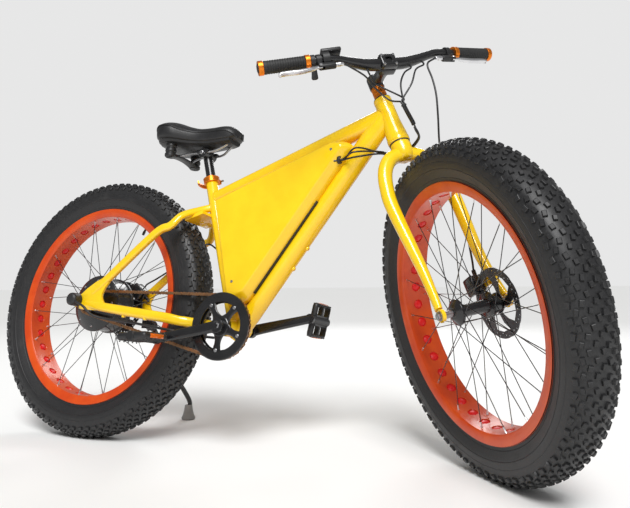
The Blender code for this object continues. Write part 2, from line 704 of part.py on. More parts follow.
def frame():
    """Welded frame: tubes, stays, dropouts and head tube in one piece."""
    down, top, seat, shell = main_tube("frame")
    profile = [(HEAD_TUBE_LOW, 0), (HEAD_TUBE_LOW, 0.0285), (HEAD_TUBE_LOW + 0.020, 0.0275)]
    profile += [(HEAD_TUBE_LOW + 0.060, 0.0240), (HEAD_TUBE_HIGH, 0.0230), (HEAD_TUBE_HIGH, 0)]
    body = lathe("frame", profile, STEER_BASE, STEER_UP, 14, "frame_paint")
    joined = [down, top, seat, shell]
    for side in (-1, 1):
        upper, lower = stay_paths(side)
        sizes = [(0.0080, 0.0110), (0.0085, 0.0110), (0.0085, 0.0110), (0.0085, 0.0115)]
        sizes += [(0.0085, 0.0120), (0.0080, 0.0125), (0.0055, 0.0120)]
        joined.append(sweep(f"seat_stay_{side}", upper, sizes, 6, "frame_paint", Z.cross(X), 2.6))
        sizes = [(0.0090, 0.0120), (0.0085, 0.0130), (0.0080, 0.0130), (0.0080, 0.0130), (0.0080, 0.0130)]
        sizes += [(0.0085, 0.0130), (0.0090, 0.0135), (0.0095, 0.0135), (0.0085, 0.0125), (0.0055, 0.0110)]
        joined.append(stay_tube(f"chain_stay_{side}", lower, sizes))
        middle = STAY_SPREAD * side
        half = DROPOUT_THICKNESS / 2
        joined.append(
            prism(f"dropout_{side}", dropout_outline(), middle - half, middle + half, "frame_paint")
        )
    plate = on_seat(0.332, -0.0440)
    joined.append(block("bridge", plate, (SEAT_AHEAD, Y, SEAT_UP), (0.062, 0.100, 0.010), "frame_paint"))
    pad = on_seat(0.3345, -0.0470)
    joined.append(block("bridge_pad", pad, (SEAT_AHEAD, Y, SEAT_UP), (0.022, 0.024, 0.010), "frame_paint"))
    fuse(body, joined)
    bores = [drum("steerer_bore", 0.440, 0.600, hole(STEERER_RADIUS, 14, LOOSE), STEER_BASE, STEER_UP, 14, "frame_paint")]
    bores.append(drum("post_bore", 0.160, 0.470, hole(SEATPOST_RADIUS, 12), CRANK, SEAT_UP, 12, "frame_paint"))
    bores.append(drum("shell_bore", -0.070, 0.070, hole(0.0174, 12), CRANK, Y, 12, "frame_paint"))
    bores.append(drum("bridge_bore", 0.305, 0.355, 0.0045, CRANK - SEAT_AHEAD * 0.052, SEAT_UP, 6, "frame_paint"))
    reach = hole(AXLE_RADIUS, 8)
    slot = [(-math.cos(math.pi * i / 4) * reach, math.sin(math.pi * i / 4) * reach) for i in range(5)]
    slot += [(reach, -0.040), (-reach, -0.040)]
    bores.append(prism("axle_slots", slot, -0.150, 0.150, "frame_paint"))
    cut(body, bores)


def stay_tube(name, path, sizes):
    """A stay whose section stays upright while its path turns toward the crank."""
    rings = []
    for point, along, (width, height) in zip(path, tangents(path), sizes):
        across = along.cross(Z).normalized()
        up = across.cross(along)
        rings.append(oval(point, across, up, width, height, 6, 2.6, math.pi / 6))
    return skinned(name, rings, "frame_paint")


def offset_outline(corners, insets):
    """Moves each side of a convex outline inward; side i runs from corner i to the next."""
    count = len(corners)
    lines = []
    for i, inset in enumerate(insets):
        start = Vector(corners[i])
        end = Vector(corners[(i + 1) % count])
        along = (end - start).normalized()
        lines.append((start + Vector((along.y, -along.x)) * inset, along))
    moved = []
    for i in range(count):
        (p, d), (q, e) = lines[i - 1], lines[i]
        share = (q - p).cross(e) / d.cross(e)
        moved.append(p + d * share)
    return moved


def rounded(corners, radii, steps=2):
    """Rounds each corner of an outline with a few points, and a tight one with two."""
    made = []
    count = len(corners)
    for i, corner in enumerate(corners):
        before = (corners[i - 1] - corner).normalized()
        after = (corners[(i + 1) % count] - corner).normalized()
        parts = steps if radii[i] > 0.009 else 1
        for k in range(parts + 1):
            share = k / parts
            start = corner + before * radii[i]
            end = corner + after * radii[i]
            made.append(start.lerp(corner, share).lerp(corner.lerp(end, share), share))
    return [(point.x, point.y) for point in made]


def case_corners():
    """The battery case in the side view, clockwise from its upper rear corner."""
    low, high, along, inward = down_tube_lines()
    rear_low = on_seat(0.046, 0.012)
    rear_high = on_seat(0.370, 0.0235)
    front_line = low + inward * (DOWN_TUBE_DEPTH - 0.011)
    front_high = front_line + along * 0.566
    front_break = front_line + along * 0.066
    top_high = front_high - X * 0.045 + Z * 0.026
    spots = [rear_high, top_high, front_high, front_break, rear_low]
    return [Vector((spot.x, spot.z)) for spot in spots]


def case_half(name, side):
    """One half of the case: a soft edged shell, cut to sit round the tubes, open at the middle."""
    corners = case_corners()
    half = CASE_WIDTH / 2
    rings = []
    for out, share in ((GAP, 0.0), (half - 0.024, 0.0), (half - 0.008, 0.60), (half - 0.002, 0.92), (half, 1.1)):
        insets = [share * inset for inset in (0.006, 0.014, 0.021, 0.024, 0.010)]
        soft = 0.023 * (1 - 0.4 * share)
        radii = [0.006, soft, soft, 0.008, 0.004]
        outline = rounded(offset_outline(corners, insets), radii)
        rings.append([Vector((x, out * side, z)) for x, z in outline])
    piece = skinned(name, rings, "frame_paint")
    inner = offset_outline(corners, [0.013, 0.024, 0.030, 0.060, 0.026])
    room = rounded(inner, [0.005] * 5, 1)
    hollow = prism(name + "_room", room, 0.0 - 0.001, half - CASE_WALL, "frame_paint")
    if side < 0:
        hollow.data.transform(Matrix.Scale(-1, 4, Y))
        hollow.data.flip_normals()
    exit_spot = case_exit(side)
    exit_bore = rod(name + "_exit", exit_spot - X * 0.03 * 0.6, exit_spot + X * 0.03, 0.0086, 10, "frame_paint")
    cutters = [hollow, *main_tube(name, LOOSE * 2)]
    if side < 0:
        cutters.append(exit_bore)
    else:
        PIECES.pop(exit_bore.name, None)
        bpy.data.objects.remove(exit_bore)
    cut(piece, cutters)


def case_exit(side):
    """Where the bar cables go into the right half, on its front bevel."""
    low, high, along, inward = down_tube_lines()
    return low + along * 0.500 + inward * (DOWN_TUBE_DEPTH - 0.004) + Y * side * 0.0400


def battery():
    corners = case_corners()
    inner = offset_outline(corners, [0.028, 0.030, 0.034, 0.064, 0.030])
    kept = clip_above([(spot.x, spot.y) for spot in inner], CRANK.z + 0.175)
    half = CASE_WIDTH / 2 - CASE_WALL - GAP
    prism("battery_pack", kept, -half, half, "black_plastic")


def clip_above(outline, floor):
    """The part of a convex outline above a height."""
    kept = []
    for i, (x, z) in enumerate(outline):
        px, pz = outline[i - 1]
        if (pz < floor) != (z < floor):
            share = (floor - pz) / (z - pz)
            kept.append((px + (x - px) * share, floor))
        if z >= floor:
            kept.append((x, z))
    return kept


def headset():
    inner = hole(STEERER_RADIUS, 12, LOOSE)
    low = HEAD_TUBE_LOW - GAP
    profile = [(low - 0.0075, inner), (low - 0.0075, 0.0270), (low, 0.0283), (low, inner)]
    lathe("headset_lower_cup", profile, STEER_BASE, STEER_UP, 12, "black_plastic", closed=True)
    high = HEAD_TUBE_HIGH + GAP
    profile = [(high, inner), (high, 0.0228), (high + 0.005, 0.0200), (high + 0.005, inner)]
    lathe("headset_upper_cup", profile, STEER_BASE, STEER_UP, 12, "black_plastic", closed=True)


def bottom_bracket():
    """Bearing sleeve in the frame's shell."""
    ring_solid("bottom_bracket", -0.0520, 0.0520, 0.0092, 0.0174, CRANK, Y, 12, "black_paint")


def fork_leg_path(side):
    spots = [(0.0, 0.4120, 0.0), (0.030, 0.4090, 0.0), (0.053, 0.3940, 0.0), (0.0710, 0.3650, 0.0)]
    spots += [(0.0820, 0.3230, 0.001), (0.0870, 0.2650, 0.004)]
    spots += [(0.0795, 0.1200, 0.015), (0.0815, 0.0500, 0.0250), (0.0865, 0.0, 0.0340)]
    return [front_end(y * side, s, fwd) for y, s, fwd in spots]


def fork():
    """A rigid fork: crown tube bent into two blades, with a steerer and slotted ends."""
    top = HEAD_TUBE_HIGH + 0.070
    low = HEAD_TUBE_LOW - 0.0078 - GAP
    profile = [(0.395, 0), (0.400, 0.0200), (0.415, 0.0255), (low - 0.002, 0.0265), (low, 0.0255)]
    profile += [(low, STEERER_RADIUS), (top, STEERER_RADIUS), (top, 0)]
    body = lathe("fork", profile, STEER_BASE, STEER_UP, 14, "frame_paint")
    sizes = [(0.0170, 0.0190), (0.0168, 0.0190), (0.0165, 0.0185), (0.0165, 0.0180), (0.0165, 0.0172)]
    sizes += [(0.0160, 0.0165), (0.0135, 0.0130), (0.0120, 0.0105), (0.0110, 0.0080)]
    joined = []
    for side in (-1, 1):
        joined.append(
            sweep(f"fork_blade_{side}", fork_leg_path(side), sizes, 8, "frame_paint", STEER_AHEAD, 2.2)
        )
        end = FRONT_AXLE + Y * side * 0.0865
        joined.append(drum(f"fork_end_{side}", -0.0040, 0.0040, 0.0150, end, Y, 10, "frame_paint"))
    tab = front_end(0.0745, 0.0520, 0.0083)
    joined.append(block("caliper_tab", tab, (STEER_AHEAD, Y, STEER_UP), (0.0200, 0.0070, 0.0340), "frame_paint"))
    fuse(body, joined)
    radius = hole(FRONT_AXLE_RADIUS, 8)
    down = -STEER_UP
    arc = [FRONT_AXLE + STEER_AHEAD * radius * math.cos(a) - down * radius * math.sin(a)
           for a in (0, math.pi / 4, math.pi / 2, 3 * math.pi / 4, math.pi)]
    ends = [arc[-1] + down * 0.030, arc[0] + down * 0.030]
    outline = [(point.x, point.z) for point in arc + ends]
    crown_hole = front_end(0, 0.4050, 0.0)
    bores = [prism("fork_slots", outline, -0.120, 0.120, "frame_paint")]
    bores.append(rod("crown_bore", crown_hole, crown_hole + STEER_AHEAD * 0.05, 0.0032, 8, "frame_paint"))
    bores.append(drum("steerer_hollow", 0.385, 0.640, 0.0110, STEER_BASE, STEER_UP, 10, "frame_paint"))
    cut(body, bores)


def stem():
    """Spacers, the stem round the steerer and the bar clamp with its faceplate."""
    base = HEAD_TUBE_HIGH + GAP + 0.005 + GAP
    inner = hole(STEERER_RADIUS, 14)
    ring_solid("headset_spacers", base, 0.6220, inner, 0.0178, STEER_BASE, STEER_UP, 14, "orange_anodised")
    low = 0.6220 + GAP
    body = drum("stem", low, 0.6560, 0.0200, STEER_BASE, STEER_UP, 14, "black_paint")
    clamp = bar_clamp_centre()
    half = block("stem_half", clamp - STEER_AHEAD * 0.0110, (STEER_AHEAD, Y, STEER_UP),
                 (0.0220 - 2 * GAP, 0.046, 0.040), "black_paint")
    start = front_end(0, 0.6395, 0.010)
    arm = sweep("stem_arm", [start, clamp - STEER_AHEAD * 0.012], [(0.0150, 0.0150), (0.0170, 0.0165)], 10,
                "black_paint", Y, 2.6)
    fuse(body, [half, arm])
    bar_hole = rod("stem_bar_hole", clamp - Y * 0.05, clamp + Y * 0.05, hole(bar_clamp_radius(), 12), 12, "black_paint")
    steerer_hole = drum("stem_steerer_hole", 0.60, 0.70, inner, STEER_BASE, STEER_UP, 14, "black_paint")
    cut(body, [bar_hole, steerer_hole])
    plate = block("stem_faceplate", clamp + STEER_AHEAD * 0.0100, (STEER_AHEAD, Y, STEER_UP),
                  (0.0200 - 2 * GAP, 0.046, 0.040), "black_paint")
    plate_hole = rod("plate_hole", clamp - Y * 0.05, clamp + Y * 0.05, hole(bar_clamp_radius(), 12), 12, "black_paint")
    cut(plate, [plate_hole])


def bar_clamp_centre():
    return front_end(0, 0.6350, 0.0830)


def bar_clamp_radius():
    return 0.0159


def bar_half():
    """The handlebar's centre line from the middle to one end."""
    centre = bar_clamp_centre()
    shifts = [(0.0, 0.0, 0.0), (0.035, 0.0, 0.0), (0.060, 0.0015, 0.001), (0.090, 0.0065, 0.0045)]
    shifts += [(0.120, 0.0128, 0.0085), (0.204 - 0.052, 0.0200 - 0.052 * 0.0315, 0.0020 + 0.052 * 0.1457)]
    shifts += [(0.204, 0.0200, 0.0020), (0.204 + GRIP_LENGTH, 0.0240, -0.0165)]
    return [centre + Y * y + STEER_UP * s + STEER_AHEAD * f for y, s, f in shifts]


def mirrored(point):
    return Vector((point.x, -point.y, point.z))


def handlebar():
    half = bar_half()
    thick = bar_clamp_radius()
    radii = [thick, thick, 0.0150, 0.0130, BAR_RADIUS, BAR_RADIUS, BAR_RADIUS, BAR_RADIUS]
    path = [mirrored(point) for point in reversed(half)] + half[1:]
    sizes = [(r, r) for r in list(reversed(radii)) + radii[1:]]
    sweep("handlebar", path, sizes, 10, "black_paint", STEER_UP)


def grip_line(side):
    """Start and end of a grip on its bar, and its direction."""
    half = bar_half()
    start = half[-2]
    end = half[-1]
    if side < 0:
        start = mirrored(start)
        end = mirrored(end)
    return start, end, (end - start).normalized()


def grips():
    for side, word in ((-1, "right"), (1, "left")):
        start, end, along = grip_line(side)
        length = (end - start).length
        inner = hole(BAR_RADIUS, 8)
        profile = [(0.0125, inner), (0.0125, GRIP_RADIUS), (length * 0.5, GRIP_RADIUS - 0.0008)]
        profile += [(length - 0.0125, GRIP_RADIUS), (length - 0.0125, inner)]
        lathe("grip_" + word, profile, start, along, 10, "grip_rubber", closed=True)
        outer = GRIP_RADIUS + 0.0015
        ring_solid("grip_ring_inner_" + word, 0.0, 0.0122, inner, outer, start, along, 8,
                   "orange_anodised")
        ring_solid("grip_ring_outer_" + word, length - 0.0122, length, inner, outer, start, along, 8,
                   "orange_anodised")


def lever_frame(side):
    """The clamp point of a brake lever on the bar, and its directions along the bar and forward."""
    start, _, along = grip_line(side)
    inward = -along
    spot = start + inward * 0.0220
    ahead = (STEER_AHEAD * 0.38 - STEER_UP * 0.925).normalized()
    ahead = (ahead - along * ahead.dot(along)).normalized()
    return spot, along, ahead


def brake_controls():
    """Perches clamped on the bar, and the two levers that swing on them."""
    for side, word in ((-1, "right"), (1, "left")):
        spot, along, ahead = lever_frame(side)
        up = along.cross(ahead) * side
        inner = hole(BAR_RADIUS, 12)
        piece = ring_solid("brake_perch_" + word, -0.0065, 0.0065, inner, 0.0155, spot, along, 12,
                           "black_plastic")
        body = spot + ahead * 0.0300 - along * 0.014
        arm = block("perch_body_" + word, body, (along, ahead, up), (0.044, 0.0160, 0.0150),
                    "black_plastic")
        neck = block("perch_neck_" + word, spot + ahead * 0.0190, (along, ahead, up), (0.0120, 0.0140, 0.0120),
                     "black_plastic")
        tail = body - along * 0.0200
        barrel = rod("perch_barrel_" + word, tail, tail - along * 0.022, 0.0055, 10, "silver", 0.0042)
        fuse(piece, [arm, neck, barrel], "MANIFOLD")
        pin = lever_pivot(side)
        slot = block("perch_slot_" + word, pin + along * 0.006, (along, ahead, up), (0.030, 0.030, 0.0076),
                     "black_plastic")
        cut(piece, [slot], "MANIFOLD")
        lever_piece(side, word)


def lever_pivot(side):
    spot, along, ahead = lever_frame(side)
    return spot + ahead * 0.0310 + along * 0.002


def lever_piece(side, word):
    """The blade: a two finger lever that bows forward and hooks at its tip."""
    spot, along, ahead = lever_frame(side)
    pin = lever_pivot(side)
    up = along.cross(ahead) * side
    path = [pin - along * 0.003, pin + along * 0.012 + ahead * 0.001, pin + along * 0.030 + ahead * 0.006]
    path += [pin + along * 0.058 + ahead * 0.0100, pin + along * 0.084 + ahead * 0.0090]
    path += [pin + along * 0.100 + ahead * 0.0105, pin + along * 0.106 + ahead * 0.0150]
    sizes = [(0.0034, 0.0055), (0.0034, 0.0060), (0.0045, 0.0055), (0.0055, 0.0042), (0.0058, 0.0040)]
    sizes += [(0.0058, 0.0042), (0.0045, 0.0035)]
    sweep("brake_lever_" + word, path, sizes, 8, "silver", up, 2.6)


def throttle():
    """A thumb throttle beside the right grip: a housing round the bar and a paddle below it."""
    start, _, along = grip_line(-1)
    inward = -along
    spot = start + inward * 0.0400
    up = (STEER_UP - along * STEER_UP.dot(along)).normalized()
    ahead = (STEER_AHEAD - along * STEER_AHEAD.dot(along)).normalized()
    piece = ring_solid("throttle_housing", -0.0095, 0.0090, hole(BAR_RADIUS, 12), 0.0200, spot, along, 12,
                       "black_plastic")
    pod = block("throttle_pod", spot + up * 0.0185 + ahead * 0.004 + inward * 0.017, (along, ahead, up),
                (0.052, 0.026, 0.0100), "black_plastic")
    fuse(piece, [pod])


def throttle_paddle():
    start, _, along = grip_line(-1)
    up = (STEER_UP - along * STEER_UP.dot(along)).normalized()
    ahead = (STEER_AHEAD - along * STEER_AHEAD.dot(along)).normalized()
    spot = start - along * 0.0065
    ring_solid("throttle_paddle", -0.0060, 0.0060, hole(BAR_RADIUS, 12, LOOSE), 0.0160, spot, along, 12,
               "black_plastic")
    tail = spot - up * 0.014
    thumb = sweep("paddle_thumb", [tail, tail - up * 0.012 - ahead * 0.010, tail - up * 0.022 - ahead * 0.022],
                  [(0.0058, 0.0050), (0.0075, 0.0040), (0.0085, 0.0035)], 8, "black_plastic", along, 2.6)
    fuse(PIECES["throttle_paddle"], [thumb])


def caliper(name, centre, ahead, up, out):
    """A disc brake caliper's body with its cable arm and the adjuster on its outer side."""
    piece = block(name, centre, (ahead, Y, up), (0.040, out * 1.7, 0.046), "black_paint")
    arm = rod(name + "_arm", centre + up * 0.012 + Y * out * 0.5, centre + up * 0.038 + Y * out * 0.62, 0.0055, 8,
              "black_paint")
    knob = drum(name + "_knob", out * 0.6, out * 1.04, 0.0130, centre, Y, 10, "black_paint")
    return fuse(piece, [arm, knob], "MANIFOLD")


def front_brake():
    """Caliper behind the left blade, with its cable from the bar."""
    centre = front_end(0.0588, 0.0500, -0.0220)
    piece = caliper("front_brake_caliper", centre, STEER_AHEAD, STEER_UP, 0.0210)
    slot = drum("front_caliper_slot", -0.0030, 0.0030, ROTOR_RADIUS + 0.002, FRONT_AXLE + Y * 0.0588, Y, 20,
                "black_paint")
    blade_room = sweep("front_caliper_room", fork_leg_path(1)[5:],
                       [(0.0165, 0.0170), (0.0140, 0.0135), (0.0125, 0.0110), (0.0115, 0.0085)], 8,
                       "black_paint", STEER_AHEAD, 2.2)
    cut(piece, [slot, blade_room], "MANIFOLD")


def rear_caliper_frame():
    return Vector((0.0600, 0.0723, 0.0480)), Vector((0.62, 0, 0.785)).normalized()


def rear_brake():
    """Caliper between the left stays."""
    centre, ahead = rear_caliper_frame()
    out = STAY_SPREAD - 0.0060 - GAP - centre.y
    piece = caliper("rear_brake_caliper", centre, ahead, Y.cross(ahead), out / 1.04)
    slot = drum("rear_caliper_slot", -0.0030, 0.0030, ROTOR_RADIUS + 0.002, Y * 0.0723, Y, 20, "black_paint")
    cut(piece, [slot], "MANIFOLD")


def axle_piece(name, centre, radius, ends, collars, nuts, nut_radius):
    """A fixed axle with a collar and a nut at each side of the frame's two ends."""
    right, left = ends
    profile = [(right, 0), (right, radius), (-nuts[1], radius), (-nuts[1], nut_radius)]
    profile += [(-nuts[0], nut_radius), (-nuts[0], radius), (-collars[1], radius)]
    profile += [(-collars[1], radius + 0.0036), (-collars[0][0], radius + 0.0036), (-collars[0][0], radius)]
    profile += [(collars[0][1], radius), (collars[0][1], radius + 0.0036), (collars[1], radius + 0.0036)]
    profile += [(collars[1], radius), (nuts[0], radius), (nuts[0], nut_radius), (nuts[1], nut_radius)]
    profile += [(nuts[1], radius), (left, radius), (left, 0)]
    lathe(name, profile, centre, Y, 6, "steel")


def axles():
    """Fixed axles, and the rubber cap where the motor's cable leaves."""
    outside = STAY_SPREAD + DROPOUT_THICKNESS / 2 + GAP
    inside = STAY_SPREAD - DROPOUT_THICKNESS / 2 - GAP
    axle_piece("motor_axle", ORIGIN, AXLE_RADIUS, (-outside - 0.014, outside + 0.014),
               ((0.0672, 0.0776), inside), (outside, outside + 0.009), 0.0125)
    axle_piece("front_axle", FRONT_AXLE, FRONT_AXLE_RADIUS, (-0.100, 0.100),
               ((0.0606, 0.0646), 0.0822), (0.0908, 0.0980), 0.0095)
    mouth = -outside - 0.0010
    profile = [(mouth - 0.022, 0), (mouth - 0.022, 0.0132), (mouth, 0.0132), (mouth, 0.0185)]
    profile += [(mouth - 0.024, 0.0175), (mouth - 0.029, 0.0100), (mouth - 0.029, 0)]
    lathe("rear_axle_cap_right", profile, ORIGIN, Y, 10, "black_plastic")


def seat_clamp():
    """Collar round the seat tube's top, with a lever that wraps behind it."""
    low = SEAT_TUBE_LENGTH - 0.016
    piece = ring_solid("seat_clamp_collar", low, SEAT_TUBE_LENGTH, hole(SEAT_TUBE_RADIUS, 14), 0.0225, CRANK, SEAT_UP,
                       14, "orange_anodised")
    centre = on_seat(low + 0.008)
    ear = block("clamp_ear", centre + Y * 0.0240, (SEAT_AHEAD, Y, SEAT_UP), (0.030, 0.010, 0.0145),
                "orange_anodised")
    skewer = rod("clamp_skewer", centre + Y * 0.0248 - SEAT_AHEAD * 0.0203, centre + Y * 0.0248 + SEAT_AHEAD * 0.024,
                 0.0030, 8, "orange_anodised")
    fuse(piece, [ear, skewer])
    lever_axis = clamp_lever_axis()
    path = [lever_axis + SEAT_AHEAD * 0.0036, lever_axis + SEAT_AHEAD * 0.001,
            lever_axis - SEAT_AHEAD * 0.010 - Y * 0.006]
    path += [lever_axis - SEAT_AHEAD * 0.014 - Y * 0.022, lever_axis - SEAT_AHEAD * 0.011 - Y * 0.040]
    path += [lever_axis - SEAT_AHEAD * 0.004 - Y * 0.050]
    sizes = [(0.0062, 0.0012), (0.0062, 0.0032), (0.0062, 0.0028), (0.0065, 0.0025), (0.0065, 0.0025)]
    sizes.append((0.0050, 0.0020))
    sweep("seat_clamp_lever", path, sizes, 8, "orange_anodised", SEAT_UP, 2.6)


def clamp_lever_axis():
    low = SEAT_TUBE_LENGTH - 0.016
    return on_seat(low + 0.008) + Y * 0.0248 - SEAT_AHEAD * 0.0242


def seatpost():
    """A straight post with a cross barrel that holds the saddle rails."""
    top = SEAT_TUBE_LENGTH + 0.077
    post = rod("seatpost", on_seat(0.230), on_seat(top), SEATPOST_RADIUS, 12, "black_paint")
    head = on_seat(top)
    barrel = rod("post_barrel", head - Y * 0.0270, head + Y * 0.0270, 0.0150, 10, "black_paint")
    fuse(post, [barrel])
    rooms = [rail_path(side, 0.0040, f"post_rail_room_{side}") for side in (-1, 1)]
    cut(post, rooms)


def rail_spots(side):
    head = on_seat(SEAT_TUBE_LENGTH + 0.077)
    y = side * 0.0215
    spots = [Vector((0.208, side * 0.030, 0.4480)), Vector((0.235, side * 0.0300, 0.4370))]
    spots += [Vector((head.x - 0.045, y, head.z + 0.002)), Vector((head.x + 0.030, y, head.z + 0.002))]
    spots += [Vector((0.378, side * 0.0150, 0.4560)), Vector((0.400, side * 0.010, 0.4720))]
    return spots


def rail_path(side, radius, name):
    spots = rail_spots(side)
    return sweep(name, spots, [(radius, radius)] * len(spots), 6, "black_paint", Y)


def saddle_half_width(x):
    """Half width of the saddle at a place along it."""
    table = [(0.170, 0.040), (0.180, 0.075), (0.196, 0.093), (0.220, 0.100), (0.245, 0.094)]
    table += [(0.268, 0.076), (0.292, 0.057), (0.318, 0.045), (0.350, 0.038), (0.385, 0.035)]
    table += [(0.410, 0.030), (0.426, 0.018)]
    return interpolate(table, x)


def interpolate(table, x):
    for (x0, y0), (x1, y1) in zip(table, table[1:]):
        if x <= x1:
            share = max(0.0, (x - x0) / (x1 - x0))
            return y0 + (y1 - y0) * share
    return table[-1][1]


def saddle_top(x):
    table = [(0.170, 0.512), (0.185, 0.531), (0.205, 0.539), (0.235, 0.537), (0.268, 0.526)]
    table += [(0.305, 0.518), (0.345, 0.518), (0.385, 0.521), (0.408, 0.515), (0.426, 0.500)]
    return interpolate(table, x)


def saddle_low(x):
    """Height of the cushion's lower edge."""
    table = [(0.170, 0.4820), (0.196, 0.4740), (0.300, 0.4700), (0.385, 0.4740), (0.426, 0.4880)]
    return interpolate(table, x)


SADDLE_STATIONS = (0.170, 0.178, 0.190, 0.206, 0.226, 0.248, 0.270, 0.294, 0.320, 0.352, 0.385, 0.410, 0.426)


def saddle_cushion():
    """Padded top: crowned, with a channel along its middle and sides that draw in below."""
    rings = []
    for x in SADDLE_STATIONS:
        wide = saddle_half_width(x)
        top = saddle_top(x)
        channel = 0.0055 if 0.186 < x < 0.36 else 0.0
        drop = 0.016 if x < 0.30 else 0.010
        low = saddle_low(x)
        half = [(0.0, top - channel), (0.22, top), (0.55, top - drop * 0.30), (0.84, top - drop)]
        half += [(1.0, top - drop - 0.013), (0.96, low + 0.010), (0.84, low)]
        ring = [Vector((x, wide * share, z)) for share, z in half]
        ring += [Vector((x, -wide * share, z)) for share, z in reversed(half[1:])]
        rings.append(ring)
    skinned("saddle_cushion", rings, "black_vinyl")


def saddle_base():
    """Shell below the cushion with its two rails and two rubber bumpers."""
    rings = []
    for x in SADDLE_STATIONS[1:8:2] + SADDLE_STATIONS[9:12]:
        wide = saddle_half_width(x) * 0.80
        high = saddle_low(x) - GAP * 4
        rings.append([Vector((x, wide, high)), Vector((x, -wide, high)),
                      Vector((x, -wide * 0.80, high - 0.010)), Vector((x, wide * 0.80, high - 0.010))])
    shell = skinned("saddle_base", rings, "black_plastic")
    joined = [rail_path(side, 0.0035, f"rail_{side}") for side in (-1, 1)]
    for side in (-1, 1):
        foot = Vector((0.226, side * 0.058, 0.424))
        joined.append(rod(f"bumper_{side}", foot, foot + Z * 0.046, 0.0165, 6, "black_plastic", 0.0150))
    yoke = [Vector((0.226, -0.062, 0.4260)), Vector((0.226, 0.0, 0.4360)), Vector((0.226, 0.062, 0.4260))]
    joined.append(sweep("yoke", yoke, [(0.014, 0.005)] * 3, 4, "black_plastic", X))
    fuse(shell, joined)


def saddle():
    saddle_cushion()
    saddle_base()


def rest_plane(clouds):
    """The plane on which three groups of points rest: a point and the upward normal."""
    up = Z.copy()
    for _ in range(60):
        lows = [min(cloud, key=lambda point: point.dot(up)) for cloud in clouds]
        found = (lows[1] - lows[0]).cross(lows[2] - lows[0]).normalized()
        up = found if found.z > 0 else -found
    return lows[0], up


def world_points(piece):
    bpy.context.view_layer.update()
    return [piece.matrix_world @ vertex.co for vertex in piece.data.vertices]


STAND_TOP = Vector((0.0800, 0.1285, -0.0480))
STAND_FOOT = Vector((0.1200, 0.3080, -0.3250))
STAND_TILT = math.radians(22.5)


def side_stand(up):
    """The stand's bracket on the left chain stay, its leg and its foot, which sits flat on the floor."""
    sole = STAND_FOOT
    along = (sole - STAND_TOP).normalized()
    bend = STAND_TOP + along * 0.030 + Y * 0.002
    path = [STAND_TOP + along * 0.016, bend, STAND_TOP + along * 0.12, sole + up * 0.062 - along * 0.004, sole + up * 0.034]
    sweep("kickstand_leg", path, [(0.0066, 0.0066), (0.0080, 0.0080), (0.0075, 0.0075), (0.0072, 0.0072),
                                 (0.0070, 0.0070)], 7, "black_paint", X)
    eye = drum("stand_eye", -0.0075, 0.0075, 0.0150, STAND_TOP, stand_axis(), 10, "black_paint")
    fuse(PIECES["kickstand_leg"], [eye])
    cut(PIECES["kickstand_leg"], [drum("stand_eye_bore", -0.02, 0.02, 0.0052, STAND_TOP, stand_axis(), 8,
                                       "black_paint")])
    profile = [(0.0, 0), (0.0, 0.0200), (0.006, 0.0215), (0.018, 0.0165), (0.045, 0.0115), (0.045, 0)]
    foot = lathe("kickstand_foot", profile, sole, up, 10, "grey_rubber")
    room = rod("foot_room", sole + up * (0.034 - GAP), sole + up * 0.0620 + (path[3] - sole - up * 0.062), 0.0081, 8,
               "grey_rubber")
    cut(foot, [room])


def stand_axis():
    """The stand's hinge tilts, so that the leg folds back along the wheel."""
    return Vector((0, math.cos(STAND_TILT), math.sin(STAND_TILT)))


def stand_bracket():
    """Plate clamped under the left stay, with a lug and a headed pin for the leg."""
    inner = STAY_SPREAD + 0.0077 + GAP
    middle = Vector((STAND_TOP.x, inner + 0.002, STAND_TOP.z + 0.016))
    plate = block("kickstand_bracket", middle, (X, Y, Z), (0.050, 0.004, 0.052), "black_paint")
    near = -0.0075 - GAP
    far = 0.0075 + GAP
    profile = [(-0.0180, 0), (-0.0180, 0.0105), (near, 0.0105), (near, 0.0046), (far, 0.0046)]
    profile += [(far, 0.0060), (far + 0.002, 0.0060), (far + 0.002, 0)]
    fuse(plate, [lathe("stand_pin", profile, STAND_TOP, stand_axis(), 10, "black_paint")])


def cables():
    """Brake cables along their routes, the motor cable and the bundle into the case."""
    front_brake_cable()
    cable("rear_brake_cable", rear_brake_route(), 0.0025)
    start = Vector((0.0167, -0.1262, -0.0070))
    spots = [start, Vector((0.045, -0.1240, -0.0200)), Vector((0.075, -0.1180, -0.0420))]
    spots += [Vector((0.120, -0.1040, -0.0520)), Vector((0.200, -0.1000, -0.0590)), Vector((0.300, -0.0980, -0.0720))]
    spots += [Vector((0.348, -0.0860, -0.0780)), Vector((0.385, -0.0520, -0.0850)), Vector((0.430, -0.0300, -0.0880))]
    cable("motor_cable", spots, 0.0034)
    bar_cables()
    case_cables()


def front_brake_cable():
    start = lever_barrel_end(1)
    spots = [start, front_end(0.090, 0.598, 0.118), front_end(0.090, 0.555, 0.112), front_end(0.084, 0.510, 0.108)]
    spots += [front_end(0.076, 0.458, 0.090), front_end(0.082, 0.405, 0.040), front_end(0.098, 0.350, -0.012)]
    spots += [front_end(0.102, 0.280, -0.020), front_end(0.094, 0.190, -0.018), front_end(0.0808, 0.1000, -0.0200)]
    cable("front_brake_cable", spots, 0.0025)


def rear_brake_route():
    centre, ahead = rear_caliper_frame()
    start = centre + ahead * (0.0206 + GAP) + Y * 0.0080
    spots = [start, start + ahead * 0.012 + Y * 0.001, Vector((0.1100, 0.0850, 0.0900)), Vector((0.1600, 0.0860, 0.1180))]
    spots += [Vector((0.2200, 0.0850, 0.1580)), Vector((0.2800, 0.0720, 0.1840)), Vector((0.3250, 0.0480, 0.1820))]
    spots += [on_seat(0.2400, -0.0300, 0.0310), on_seat(0.2200, 0.0150, 0.0300)]
    return spots


